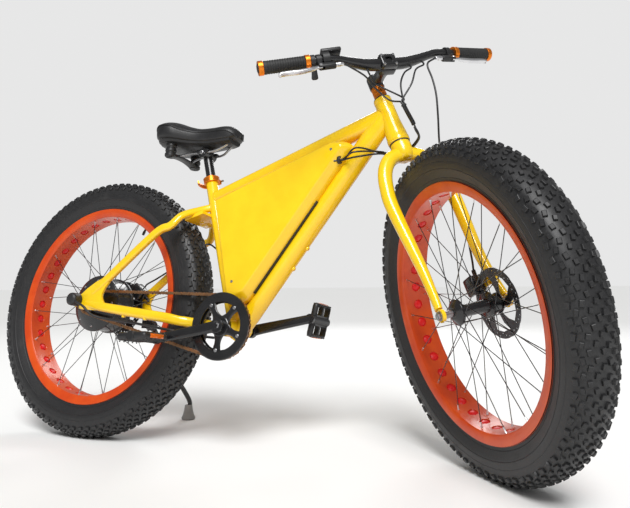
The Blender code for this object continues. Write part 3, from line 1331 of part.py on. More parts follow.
def lever_barrel_end(side):
    spot, along, ahead = lever_frame(side)
    return spot + ahead * 0.0300 - along * (0.014 + 0.0200 + 0.0234)


CABLE_LEVEL = 0.4600
CABLE_REACH = 0.0565
CABLE_PART = 0.0030


def bar_cables():
    """Four cables from the bar that meet ahead of the head tube, down over the crown's left side."""
    tie = front_end(-0.0020, 0.5020, 0.0870)
    routes = [[lever_barrel_end(-1), front_end(-0.080, 0.594, 0.095), front_end(-0.049, 0.588, 0.062),
               front_end(-0.016, 0.545, 0.055)]]
    routes.append([front_end(-0.060, 0.6150, 0.0850), front_end(-0.030, 0.6020, 0.0500),
                   front_end(0.015, 0.5400, 0.0680)])
    routes.append([front_end(0.062, 0.6180, 0.0880), front_end(0.034, 0.6000, 0.0900),
                   front_end(0.006, 0.5580, 0.0990)])
    routes.append([front_end(0.098, 0.6160, 0.0900), front_end(0.060, 0.6000, 0.1000),
                   front_end(0.030, 0.5500, 0.1070)])
    made = []
    for i, route in enumerate(routes):
        angle = math.tau * (i + 0.5) / 4 + math.pi
        spread = Y * math.cos(angle) * 0.0034 + STEER_AHEAD * math.sin(angle) * 0.0034
        ends = [tie + spread + STEER_UP * 0.012, tie + spread - STEER_UP * 0.002]
        made.append(strand(f"bar_strand_{i}", [*route, *ends], 0.0022))
    trunk = [tie, front_end(0.004, 0.4880, 0.0800), front_end(0.0235, 0.4720, CABLE_REACH),
             front_end(0.0235, CABLE_LEVEL + CABLE_PART, CABLE_REACH)]
    body = strand("bar_cables", trunk, 0.0062, 6)
    fuse(body, made)


def steered(point):
    """A front end point where it stands at rest, in the bicycle's own coordinates."""
    turn = Matrix.Rotation(STEER_AT_REST, 3, STEER_UP)
    return STEER_BASE + turn @ (point - STEER_BASE)


def case_cables():
    """Three cables from behind the fork crown, under the down tube and into the case."""
    meet = steered(front_end(0.0235, CABLE_LEVEL - CABLE_PART, CABLE_REACH))
    bend = steered(front_end(0.0235, CABLE_LEVEL - 0.0105, CABLE_REACH))
    far = steered(front_end(0.0420, 0.4400, 0.0250))
    behind = [front_end(0.0470, 0.4390, -0.0010), front_end(0.0370, 0.4430, -0.0380)]
    low, high, along, inward = down_tube_lines()
    under = low + along * 0.575 - inward * 0.018
    mouth = case_exit(-1)
    body = strand("case_cables", [meet, bend, far, *behind, under], 0.0062, 6)
    made = []
    back = (mouth - under).normalized()
    for i, (rise, out) in enumerate(((0.013, -0.050), (-0.002, -0.060), (-0.010, -0.046))):
        loop = mouth.lerp(under, 0.5)
        spread = Vector((0, 0.0040, 0.0036)) * (i - 1)
        spots = [under - back * 0.004 + spread, under + back * 0.006 + spread]
        spots += [Vector((loop.x, out, loop.z + rise)), mouth + X * 0.022 + spread, mouth - X * 0.010 + spread]
        made.append(strand(f"case_strand_{i}", spots, 0.0022))
    mouth_plug = rod("mouth_plug", mouth - X * 0.004, mouth + X * 0.008, 0.0080, 8, "black_plastic")
    fuse(body, [*made, mouth_plug])


def build_pivots():
    turn = Matrix.Rotation(STEER_AT_REST, 3, STEER_UP).to_quaternion()
    pivot("bike", ORIGIN)
    pivot("steering", STEER_BASE + STEER_UP * HEAD_TUBE_LOW, "bike", turn)
    pivot("front_wheel", FRONT_AXLE, "steering")
    pivot("rear_wheel", ORIGIN, "bike")
    pivot("freewheel", ORIGIN, "bike")
    pivot("crankset", CRANK, "bike")
    pivot("right_pedal", CRANK - CRANK_REACH - Y * PEDAL_OUT, "crankset")
    pivot("left_pedal", CRANK + CRANK_REACH + Y * PEDAL_OUT, "crankset")
    pivot("right_lever", lever_pivot(-1), "steering")
    pivot("left_lever", lever_pivot(1), "steering")
    start, _, along = grip_line(-1)
    pivot("throttle", start - along * 0.0065, "steering")
    pivot("stand", STAND_TOP, "bike")
    pivot("post", on_seat(SEAT_TUBE_LENGTH), "bike")
    pivot("clamp_lever", clamp_lever_axis(), "bike")


HOLDERS = {
    "steering": ("fork", "headset_spacers", "stem", "stem_faceplate", "handlebar", "grip_right",
                 "grip_left", "grip_ring_inner_right", "grip_ring_outer_right", "grip_ring_inner_left",
                 "grip_ring_outer_left", "brake_perch_right", "brake_perch_left", "throttle_housing",
                 "front_brake_caliper", "front_axle", "front_brake_cable", "bar_cables"),
    "front_wheel": ("front_hub", "front_rim", "front_rim_strip", "front_tyre", "front_rotor"),
    "rear_wheel": ("motor_hub", "rear_rim", "rear_rim_strip", "rear_tyre", "rear_rotor"),
    "freewheel": ("sprocket",),
    "crankset": ("chainring", "chain_guard", "crank_arm_right", "crank_arm_left"),
    "right_pedal": ("pedal_right",),
    "left_pedal": ("pedal_left",),
    "right_lever": ("brake_lever_right",),
    "left_lever": ("brake_lever_left",),
    "throttle": ("throttle_paddle",),
    "stand": ("kickstand_leg", "kickstand_foot"),
    "post": ("seatpost", "saddle_base", "saddle_cushion"),
    "clamp_lever": ("seat_clamp_lever",),
}


def hang_all():
    held = {name: holder for holder, names in HOLDERS.items() for name in names}
    for name in PIECES:
        if PIECES[name].parent is None:
            hang(name, held.get(name, "bike"))


def stand_on_floor(up):
    """Turns the whole bicycle so that the floor is level, and puts the origin under its middle."""
    ahead = (X - up * X.dot(up)).normalized()
    left = up.cross(ahead)
    turn = Matrix((ahead, left, up))
    root = PIVOTS["bike"][0]
    root.rotation_mode = "QUATERNION"
    root.rotation_quaternion = turn.to_quaternion()
    bpy.context.view_layer.update()
    graph = bpy.context.evaluated_depsgraph_get()
    lows = Vector((9, 9, 9))
    highs = -lows
    for piece in PIECES.values():
        shown = piece.evaluated_get(graph)
        data = shown.to_mesh()
        for vertex in data.vertices:
            spot = shown.matrix_world @ vertex.co
            lows = Vector(map(min, lows, spot))
            highs = Vector(map(max, highs, spot))
        shown.to_mesh_clear()
    root.location = (-(lows.x + highs.x) / 2, -(lows.y + highs.y) / 2, -lows.z)


def main():
    clear_scene()
    build_pivots()
    front_wheel()
    rear_wheel()
    hang("front_tyre", "front_wheel")
    hang("rear_tyre", "rear_wheel")
    clouds = [world_points(PIECES["rear_tyre"]), world_points(PIECES["front_tyre"]), [STAND_FOOT]]
    _, up = rest_plane(clouds)
    frame()
    case_half("battery_case_right", -1)
    case_half("battery_case_left", 1)
    battery()
    headset()
    bottom_bracket()
    fork()
    stem()
    handlebar()
    grips()
    brake_controls()
    throttle()
    throttle_paddle()
    axles()
    front_brake()
    rear_brake()
    seat_clamp()
    seatpost()
    saddle()
    sprocket()
    chainring()
    chain_guard()
    chain()
    cranks()
    pedal("pedal_right", -1, math.radians(4))
    pedal("pedal_left", 1, math.radians(80))
    side_stand(up)
    stand_bracket()
    cables()
    hang_all()
    stand_on_floor(up)


main()
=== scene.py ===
"""Electric bicycle with fat tyres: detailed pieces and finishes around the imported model."""

import json
import logging
import math
from dataclasses import dataclass
from enum import Enum
from typing import Iterable, Sequence

import bmesh
import bpy
import numpy as np
from mathutils import Matrix, Vector


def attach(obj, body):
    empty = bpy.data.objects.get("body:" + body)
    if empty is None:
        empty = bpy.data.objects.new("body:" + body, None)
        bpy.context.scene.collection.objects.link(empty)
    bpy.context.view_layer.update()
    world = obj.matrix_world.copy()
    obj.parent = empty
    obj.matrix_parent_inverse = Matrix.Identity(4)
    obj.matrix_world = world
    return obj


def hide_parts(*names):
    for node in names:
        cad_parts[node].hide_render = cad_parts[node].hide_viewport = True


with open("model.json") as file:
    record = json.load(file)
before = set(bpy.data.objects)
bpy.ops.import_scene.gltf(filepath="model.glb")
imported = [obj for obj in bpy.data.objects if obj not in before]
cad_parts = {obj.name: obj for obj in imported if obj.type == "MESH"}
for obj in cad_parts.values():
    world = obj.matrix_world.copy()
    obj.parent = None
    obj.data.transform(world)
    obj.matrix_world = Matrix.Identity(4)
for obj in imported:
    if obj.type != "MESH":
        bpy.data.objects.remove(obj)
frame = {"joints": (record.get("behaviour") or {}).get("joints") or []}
LOG = logging.getLogger("bicycle")

X = Vector((1, 0, 0))
Y = Vector((0, 1, 0))
Z = Vector((0, 0, 1))
NIL = Vector((0, 0, 0))
Socket = object
Piece = bpy.types.Object


class Side(Enum):
    """The two sides of the bicycle, as seen by its rider."""

    RIGHT = -1
    LEFT = 1

    @property
    def word(self) -> str:
        """The side's name in piece names."""
        return self.name.lower()


# Where things are


class Stance:
    """The upright bicycle's own lines, and how it leans on its stand with its bar turned.

    Points are written for the upright bicycle with its wheel straight ahead: origin in the
    rear axle, X ahead, Y to the rider's left.
    """

    WHEELBASE = 1.123
    HEAD = math.radians(67.6)
    SEAT = math.radians(72.8)
    OFFSET = 0.036
    CRANK = Vector((0.471, 0, -0.0605))
    PITCH = math.radians(13.5)
    BAR_TURN = math.radians(-48)
    CRANK_ARM = 0.17
    WITH_BAR = ("steering", "front_wheel", "throttle", "left_lever", "right_lever")

    def __init__(self, joints: list[dict]) -> None:
        """Finds the lean from the model's joints.

        Args:
            joints: The record's joints, which name places and axes in the row frame.
        """
        named = {joint["name"]: joint for joint in joints}
        rear = Vector(named["rear_wheel"]["pos_m"])
        left = Vector(named["rear_wheel"]["axis"]).normalized()
        arm = Vector(named["crankset"]["pos_m"]) - rear
        arm -= left * arm.dot(left)
        down = math.atan2(-self.CRANK.z, self.CRANK.x)
        ahead = (Matrix.Rotation(-down, 3, left) @ arm).normalized()
        up = ahead.cross(left)
        self.lean = Matrix.Translation(rear) @ Matrix((ahead, left, up)).transposed().to_4x4()
        self.steer_up = Vector((-math.cos(self.HEAD), 0, math.sin(self.HEAD)))
        self.steer_ahead = Vector((math.sin(self.HEAD), 0, math.cos(self.HEAD)))
        self.steer_base = Vector((self.WHEELBASE - self.OFFSET / math.sin(self.HEAD), 0, 0))
        self.seat_up = Vector((-math.cos(self.SEAT), 0, math.sin(self.SEAT)))
        self.seat_ahead = Vector((math.sin(self.SEAT), 0, math.cos(self.SEAT)))
        self.front_axle = Vector((self.WHEELBASE, 0, 0))
        turn = Matrix.Rotation(self.BAR_TURN, 4, self.steer_up)
        base = Matrix.Translation(self.steer_base)
        self.turned = self.lean @ base @ turn @ base.inverted()
        self.reach = Vector((math.cos(self.PITCH), 0, math.sin(self.PITCH))) * self.CRANK_ARM

    def place(self, body: str) -> Matrix:
        """Where the upright bicycle's points go on a body: turned with the bar, or leaning only."""
        return self.turned if body in self.WITH_BAR else self.lean

    def front(self, side: float, height: float, ahead: float) -> Vector:
        """A point of the front end: to the left, up the steering axis and ahead of it."""
        return self.steer_base + self.steer_up * height + self.steer_ahead * ahead + Y * side

    def seat(self, height: float, ahead: float = 0.0, side: float = 0.0) -> Vector:
        """A point on the seat tube's line, from the crank's axis."""
        return self.CRANK + self.seat_up * height + self.seat_ahead * ahead + Y * side

    def down_tube(self) -> tuple[Vector, Vector, Vector, Vector]:
        """The down tube's lower edge: low end, high end, direction, and the way into the frame."""
        low = self.CRANK + X * 0.049 - Z * 0.0075
        high = self.front(0, 0.4823, -0.0313)
        along = (high - low).normalized()
        return low, high, along, along.cross(Y)


STANCE = Stance(frame["joints"])


# Modelling steps


def flow(rows: Sequence[Sequence[float]], steps: int) -> list[list[float]]:
    """Rows of numbers with smooth rows put between them.

    Args:
        rows: The given rows, each a point and whatever goes with it.
        steps: How many parts each gap is split into.

    Returns:
        The given rows and the new ones, in order.
    """
    data = np.array([list(row) for row in rows], float)
    padded = np.vstack([2 * data[0] - data[1], data, 2 * data[-1] - data[-2]])
    made = []
    for i in range(1, len(padded) - 2):
        a, b, c, d = padded[i - 1:i + 3]
        for k in range(steps):
            t = k / steps
            made.append(0.5 * (2 * b + (c - a) * t + (2 * a - 5 * b + 4 * c - d) * t * t
                               + (3 * b - 3 * c + d - a) * t ** 3))
    made.append(data[-1])
    return [list(row) for row in made]


def polar(centre: Vector, radius: float, angle: float, side: float = 0.0) -> Vector:
    """A point round an axle, at an angle from ahead towards up."""
    return centre + Vector((math.cos(angle) * radius, side, math.sin(angle) * radius))


def rod_profile(low: float, high: float, radius: float) -> list[tuple[float, float]]:
    """The profile of a plain round rod or bore between two places on its axis."""
    return [(low, 0), (low, radius), (high, radius), (high, 0)]


def collar_profile(low: float, high: float, bore: float, radius: float,
                   bevel: float) -> list[tuple[float, float]]:
    """The profile of a ring with bevelled outer edges; a disc where the bore is 0."""
    return [(low, bore), (low, radius - bevel), (low + bevel, radius), (high - bevel, radius),
            (high, radius - bevel), (high, bore)]


def oval(centre: Vector, across: Vector, up: Vector, wide: float, tall: float, sides: int = 24,
         power: float = 2.0) -> list[Vector]:
    """A rounded ring of points; a power over 2 makes it squarer and one under 2 leaner."""
    ring = []
    for i in range(sides):
        turn = math.tau * i / sides
        c, s = math.cos(turn), math.sin(turn)
        ring.append(centre + across * (wide * math.copysign(abs(c) ** (2 / power), c))
                    + up * (tall * math.copysign(abs(s) ** (2 / power), s)))
    return ring


def rings_along(rows: Sequence[Sequence[float]], hint: Vector, sides: int = 24,
                power: float = 2.0) -> list[list[Vector]]:
    """Rings square to a path, given as rows of x, y, z, half width and half height."""
    spots = [Vector(row[:3]) for row in rows]
    rings = []
    for i, row in enumerate(rows):
        ahead = spots[min(i + 1, len(spots) - 1)] - spots[max(i - 1, 0)]
        ahead.normalize()
        across = (hint - ahead * hint.dot(ahead)).normalized()
        rings.append(oval(spots[i], across, ahead.cross(across), row[3], row[4], sides, power))
    return rings


def axes_matrix(axes: Sequence[Vector], centre: Vector) -> Matrix:
    """A placing matrix from three directions and a centre."""
    return Matrix.Translation(centre) @ Matrix(axes).transposed().to_4x4()


class Bench:
    """Blender's own modelling operators, each used on one piece at a time."""

    @staticmethod
    def only(*pieces: Piece) -> None:
        """Selects these pieces and nothing else; the first is active."""
        bpy.ops.object.select_all(action="DESELECT")
        for piece in pieces:
            piece.select_set(True)
        bpy.context.view_layer.objects.active = pieces[0] if pieces else None

    @classmethod
    def named(cls, name: str) -> Piece:
        """The active piece under its own name."""
        piece = bpy.context.view_layer.objects.active
        piece.name = name
        piece.data.name = name
        return piece

    @staticmethod
    def edit() -> None:
        """Goes into edit mode with everything selected."""
        bpy.ops.object.mode_set(mode="EDIT")
        bpy.ops.mesh.select_all(action="SELECT")

    @classmethod
    def settle(cls, piece: Piece) -> None:
        """Merges doubles and turns all faces outwards."""
        cls.only(piece)
        cls.edit()
        bpy.ops.mesh.remove_doubles(threshold=1e-6)
        bpy.ops.mesh.normals_make_consistent(inside=False)
        bpy.ops.object.mode_set(mode="OBJECT")

    @classmethod
    def loft(cls, name: str, rings: Sequence[Sequence[Vector]], closed: bool = False,
             caps: bool = True) -> Piece:
        """A ring of points extruded from station to station.

        Args:
            name: The piece's name.
            rings: The stations, each with the same count of points.
            closed: The last station joins the first.
            caps: Both ends are filled.

        Returns:
            The new piece.
        """
        cls.only()
        count = len(rings[0])
        bpy.ops.mesh.primitive_circle_add(vertices=count, radius=1, fill_type="NOTHING")
        piece = cls.named(name)
        for vertex, spot in zip(piece.data.vertices, rings[0]):
            vertex.co = spot
        cls.edit()
        for ring in rings[1:]:
            bpy.ops.mesh.extrude_edges_move()
            mesh = bmesh.from_edit_mesh(piece.data)
            mesh.verts.ensure_lookup_table()
            for vertex, spot in zip(mesh.verts[-count:], ring):
                vertex.co = spot
        mesh = bmesh.from_edit_mesh(piece.data)
        mesh.verts.ensure_lookup_table()
        ends = (mesh.verts[:count], mesh.verts[-count:])
        if closed:
            for a in range(count):
                b = (a + 1) % count
                mesh.faces.new((ends[0][a], ends[0][b], ends[1][b], ends[1][a]))
        elif caps:
            for end in ends:
                mesh.faces.new(end)
        bmesh.update_edit_mesh(piece.data)
        bpy.ops.object.mode_set(mode="OBJECT")
        cls.settle(piece)
        return piece

    @classmethod
    def turned(cls, name: str, profile: Sequence[tuple[float, float]], centre: Vector, axis: Vector,
               steps: int = 48) -> Piece:
        """A profile of (place along the axis, radius) spun all round it."""
        cls.only()
        axis = axis.normalized()
        out = axis.orthogonal().normalized()
        bpy.ops.mesh.primitive_circle_add(vertices=max(3, len(profile)), radius=1, fill_type="NOTHING")
        piece = cls.named(name)
        mesh = bmesh.new()
        spots = [mesh.verts.new(centre + axis * along + out * radius) for along, radius in profile]
        pairs = list(zip(spots, spots[1:]))
        if profile[0][1] > 0 and profile[-1][1] > 0:
            pairs.append((spots[-1], spots[0]))
        for pair in pairs:
            mesh.edges.new(pair)
        mesh.to_mesh(piece.data)
        mesh.free()
        cls.edit()
        bpy.ops.mesh.spin(steps=steps, angle=math.tau, center=centre, axis=axis, use_auto_merge=False)
        bpy.ops.object.mode_set(mode="OBJECT")
        cls.settle(piece)
        return piece

    @classmethod
    def box(cls, name: str, centre: Vector, axes: Sequence[Vector], size: Sequence[float],
            soft: float = 0.0, segments: int = 2) -> Piece:
        """A block along three directions, with its edges bevelled."""
        cls.only()
        bpy.ops.mesh.primitive_cube_add(size=1)
        piece = cls.named(name)
        piece.data.transform(axes_matrix(axes, centre) @ Matrix.Diagonal((*size, 1)))
        cls.settle(piece)
        if soft:
            cls.soften(piece, soft, segments)
        return piece

    @classmethod
    def plate(cls, name: str, outline: Sequence[Vector], thick: Vector) -> Piece:
        """A flat outline extruded by a step."""
        cls.only()
        bpy.ops.mesh.primitive_circle_add(vertices=len(outline), radius=1, fill_type="NGON")
        piece = cls.named(name)
        for vertex, spot in zip(piece.data.vertices, outline):
            vertex.co = spot
        cls.edit()
        bpy.ops.mesh.extrude_region_move(TRANSFORM_OT_translate={"value": thick})
        bpy.ops.object.mode_set(mode="OBJECT")
        cls.settle(piece)
        return piece

    @classmethod
    def wire(cls, name: str, spots: Sequence[Vector], radius: float, sides: int = 3,
             steps: int = 6) -> Piece:
        """A round cable or rod on a smooth curve, made a mesh."""
        rows = flow([tuple(spot) for spot in spots], steps) if steps > 1 else [tuple(s) for s in spots]
        cls.only()
        bpy.ops.curve.primitive_nurbs_path_add()
        piece = cls.named(name)
        curve = piece.data
        curve.splines.clear()
        spline = curve.splines.new("POLY")
        spline.points.add(len(rows) - 1)
        for point, row in zip(spline.points, rows):
            point.co = (*row[:3], 1)
        curve.dimensions = "3D"
        curve.bevel_depth = radius
        curve.bevel_resolution = sides
        curve.use_fill_caps = True
        bpy.ops.object.convert(target="MESH")
        piece = cls.named(name)
        cls.settle(piece)
        return piece

    @classmethod
    def apply(cls, piece: Piece) -> None:
        """Applies the piece's modifiers."""
        cls.only(piece)
        for modifier in list(piece.modifiers):
            bpy.ops.object.modifier_apply(modifier=modifier.name)

    @classmethod
    def soften(cls, piece: Piece, width: float, segments: int = 2, angle: float = 40) -> None:
        """Bevels the edges that are sharper than an angle in degrees."""
        bevel = piece.modifiers.new("edges", "BEVEL")
        bevel.width = width
        bevel.segments = segments
        bevel.limit_method = "ANGLE"
        bevel.angle_limit = math.radians(angle)
        cls.apply(piece)

    @classmethod
    def rounder(cls, piece: Piece, levels: int = 1) -> None:
        """Subdivides the piece to a smooth surface."""
        surface = piece.modifiers.new("smooth", "SUBSURF")
        surface.levels = surface.render_levels = levels
        cls.apply(piece)

    @classmethod
    def drill(cls, piece: Piece, *cutters: Piece) -> Piece:
        """Cuts the cutters out of the piece and deletes them."""
        for cutter in cutters:
            boolean = piece.modifiers.new("cut", "BOOLEAN")
            boolean.operation = "DIFFERENCE"
            boolean.solver = "EXACT"
            boolean.object = cutter
        cls.apply(piece)
        for cutter in cutters:
            bpy.data.objects.remove(cutter)
        return piece

    @classmethod
    def join(cls, name: str, *pieces: Piece) -> Piece:
        """Several meshes as one piece."""
        cls.only(*pieces)
        if len(pieces) > 1:
            bpy.ops.object.join()
        return cls.named(name)

    @classmethod
    def repeat(cls, name: str, pattern: Piece, places: Iterable[Matrix]) -> Piece:
        """One mesh with a copy of the pattern at each place; the pattern is deleted."""
        mesh = bmesh.new()
        for place in places:
            start = len(mesh.verts)
            mesh.from_mesh(pattern.data)
            mesh.verts.ensure_lookup_table()
            bmesh.ops.transform(mesh, matrix=place, verts=mesh.verts[start:])
        cls.only(pattern)
        bpy.ops.object.duplicate()
        piece = cls.named(name)
        mesh.to_mesh(piece.data)
        mesh.free()
        bpy.data.objects.remove(pattern)
        return piece

    @classmethod
    def shade(cls, piece: Piece, angle: float = 35) -> None:
        """Smooth shading, with edges over an angle in degrees kept sharp."""
        cls.only(piece)
        bpy.ops.object.shade_smooth_by_angle(angle=math.radians(angle))


# Shaders


class Level:
    """A shader value that Python sums can use; each sum adds its Math node."""

    def __init__(self, graph: "Graph", socket: Socket) -> None:
        """Keeps the socket and the graph that it belongs to."""
        self.graph = graph
        self.socket = socket

    def _math(self, operation: str, first: object, second: object) -> "Level":
        """The Math node of an operation on two values."""
        made = self.graph.node("ShaderNodeMath", {"operation": operation}, {0: first, 1: second})
        return Level(self.graph, made.outputs[0])

    def __add__(self, other: object) -> "Level":
        """This value plus another."""
        return self._math("ADD", self, other)

    __radd__ = __add__

    def __sub__(self, other: object) -> "Level":
        """This value less another."""
        return self._math("SUBTRACT", self, other)

    def __rsub__(self, other: object) -> "Level":
        """Another value less this."""
        return self._math("SUBTRACT", other, self)

    def __mul__(self, other: object) -> "Level":
        """This value times another."""
        return self._math("MULTIPLY", self, other)

    __rmul__ = __mul__

    def band(self, low: float, high: float) -> "Level":
        """0 at low and 1 at high, smooth between them."""
        made = self.graph.node("ShaderNodeMapRange", {"interpolation_type": "SMOOTHSTEP"},
                               {"Value": self, "From Min": low, "From Max": high})
        return Level(self.graph, made.outputs[0])


class Graph:
    """The nodes of one material."""

    def __init__(self, name: str) -> None:
        """Starts a material with one Principled shader."""
        self.material = bpy.data.materials.new(name)
        self.material.use_nodes = True
        self.tree = self.material.node_tree
        self.shader = self.tree.nodes["Principled BSDF"]
        self.spot = self.node("ShaderNodeTexCoord", {}, {})

    def feed(self, socket: Socket, value: object) -> None:
        """Links a value or socket to an input, or sets it there."""
        value = value.socket if isinstance(value, Level) else value
        if isinstance(value, bpy.types.NodeSocket):
            self.tree.links.new(value, socket)
        else:
            socket.default_value = value

    def node(self, kind: str, settings: dict, values: dict) -> bpy.types.Node:
        """Adds a node.

        Args:
            kind: The node's type.
            settings: Its properties, set first.
            values: Numbers, colours or links, by its inputs' names or numbers.

        Returns:
            The node.
        """
        made = self.tree.nodes.new(kind)
        for key, value in settings.items():
            setattr(made, key, value)
        for key, value in values.items():
            self.feed(made.inputs[key], value)
        return made

    def noise(self, size: float, detail: float = 3.0, rough: float = 0.55) -> Level:
        """Cloudy noise whose blobs are about one size in metres."""
        made = self.node("ShaderNodeTexNoise", {},
                         {"Vector": self.spot.outputs["Object"], "Scale": 1 / size, "Detail": detail,
                          "Roughness": rough})
        return Level(self, made.outputs[0])

    def cells(self, size: float) -> Level:
        """Distance inside small cells, for a leather grain."""
        made = self.node("ShaderNodeTexVoronoi", {},
                         {"Vector": self.spot.outputs["Object"], "Scale": 1 / size})
        return Level(self, made.outputs["Distance"])

    def facing(self, axis: int) -> Level:
        """How far the surface faces along one of the object's own axes."""
        made = self.node("ShaderNodeSeparateXYZ", {}, {"Vector": self.spot.outputs["Normal"]})
        return Level(self, made.outputs[axis])

    def mix(self, share: Level, first: object, second: object) -> Socket:
        """A colour between two others."""
        made = self.node("ShaderNodeMix", {"data_type": "RGBA"}, {0: share, 6: first, 7: second})
        return made.outputs[2]

    def surface(self, colour: Socket, rough: Level) -> None:
        """Feeds the shader's colour and roughness."""
        self.feed(self.shader.inputs["Base Color"], colour)
        self.feed(self.shader.inputs["Roughness"], rough)

    def bump(self, height: Level, depth: float) -> None:
        """Raises the surface by a height from 0 to 1 times a depth in metres."""
        made = self.node("ShaderNodeBump", {}, {"Height": height, "Distance": depth, "Strength": 1.0})
        self.feed(self.shader.inputs["Normal"], made.outputs[0])


def rgba(colour: Sequence[float]) -> tuple[float, float, float, float]:
    """A colour with full alpha."""
    return (*colour, 1.0)


@dataclass(frozen=True)
class Finish:
    """A surface with a colour that drifts a little between two tones, and an uneven gloss."""

    name: str
    slot: str
    colour: tuple[float, float, float]
    second: tuple[float, float, float]
    rough: float
    uneven: float = 0.06
    patch: float = 0.06
    metal: float = 0.0
    coat: float = 0.0
    grain: float = 0.0004
    depth: float = 0.00001

    def material(self) -> bpy.types.Material:
        """The finish's material, made once."""
        known = bpy.data.materials.get(self.name)
        if known:
            return known
        graph = Graph(self.name)
        for key, value in (("Metallic", self.metal), ("Coat Weight", self.coat), ("Coat Roughness", 0.06)):
            graph.feed(graph.shader.inputs[key], value)
        self.dress(graph)
        return graph.material

    def tones(self, graph: Graph, share: Level) -> Socket:
        """The colour, drifting to the second tone by a share."""
        return graph.mix(share, rgba(self.colour), rgba(self.second))

    def dress(self, graph: Graph) -> None:
        """Adds the finish's own nodes."""
        cloud = graph.noise(self.patch)
        fine = graph.noise(self.grain, 2.0)
        graph.surface(self.tones(graph, cloud.band(0.35, 0.65)), (cloud - 0.5) * self.uneven + self.rough)
        graph.bump(fine, self.depth)


@dataclass(frozen=True)
class FramePaintWithPaintedShade(Finish):
    """Glossy yellow paint with painted shade: it turns to orange where the surface looks down."""

    # Orange of the painted shade on the faces that look down.
    under: tuple[float, float, float] = (0.8, 0.36, 0.003)

    def dress(self, graph: Graph) -> None:
        """Adds painted shade, an orange on the lower faces, and a fine paint texture."""
        cloud = graph.noise(self.patch)
        # Painted shade: the share of orange grows as the surface looks down, with a little noise at its edge.
        low = (graph.facing(2) * -1.0 + (cloud - 0.5) * 0.25).band(0.05, 0.95)
        body = self.tones(graph, cloud.band(0.35, 0.65))
        graph.surface(graph.mix(low * 0.85, body, rgba(self.under)),
                      (cloud - 0.5) * self.uneven + self.rough)
        graph.bump(graph.noise(0.0022, 1.0), self.depth)


@dataclass(frozen=True)
class TyreRubber(Finish):
    """Black rubber with a moulded skin and a little pale dust from the salt."""

    dust: tuple[float, float, float] = (0.11, 0.1, 0.088)

    def dress(self, graph: Graph) -> None:
        """Adds dust patches that also dull the rubber."""
        wide = graph.noise(0.045, 5.0, 0.65)
        small = graph.noise(0.004, 4.0, 0.6)
        dusty = (wide * 0.6 + small * 0.4).band(0.5, 0.72)
        body = self.tones(graph, small.band(0.3, 0.7))
        graph.surface(graph.mix(dusty * 0.1, body, rgba(self.dust)), dusty * 0.25 + self.rough)
        graph.bump(graph.noise(self.grain, 2.0), self.depth)


@dataclass(frozen=True)
class Vinyl(Finish):
    """Black covering with a leather grain."""

    def dress(self, graph: Graph) -> None:
        """Adds the grain's cells and a worn gloss."""
        worn = graph.noise(0.05)
        graph.surface(self.tones(graph, worn.band(0.35, 0.7)), (worn - 0.5) * 0.2 + self.rough)
        graph.bump(graph.cells(self.grain) * 0.7 + graph.noise(self.grain * 0.6) * 0.3, self.depth)


@dataclass(frozen=True)
class Brushed(Finish):
    """Bare metal with fine scratches, duller in patches."""

    def dress(self, graph: Graph) -> None:
        """Adds the scratches and the patches."""
        cloud = graph.noise(self.patch, 4.0)
        lines = graph.node("ShaderNodeMapping", {},
                           {"Vector": graph.spot.outputs["Object"], "Scale": (40.0, 900.0, 900.0)})
        scratch = Level(graph,
                        graph.node("ShaderNodeTexNoise", {},
                                   {"Vector": lines.outputs[0], "Scale": 1.0, "Detail": 2.0}).outputs[0])
        graph.surface(self.tones(graph, cloud.band(0.35, 0.7)),
                      scratch * 0.12 + (cloud - 0.5) * self.uneven + self.rough)
        graph.bump(scratch, self.depth)


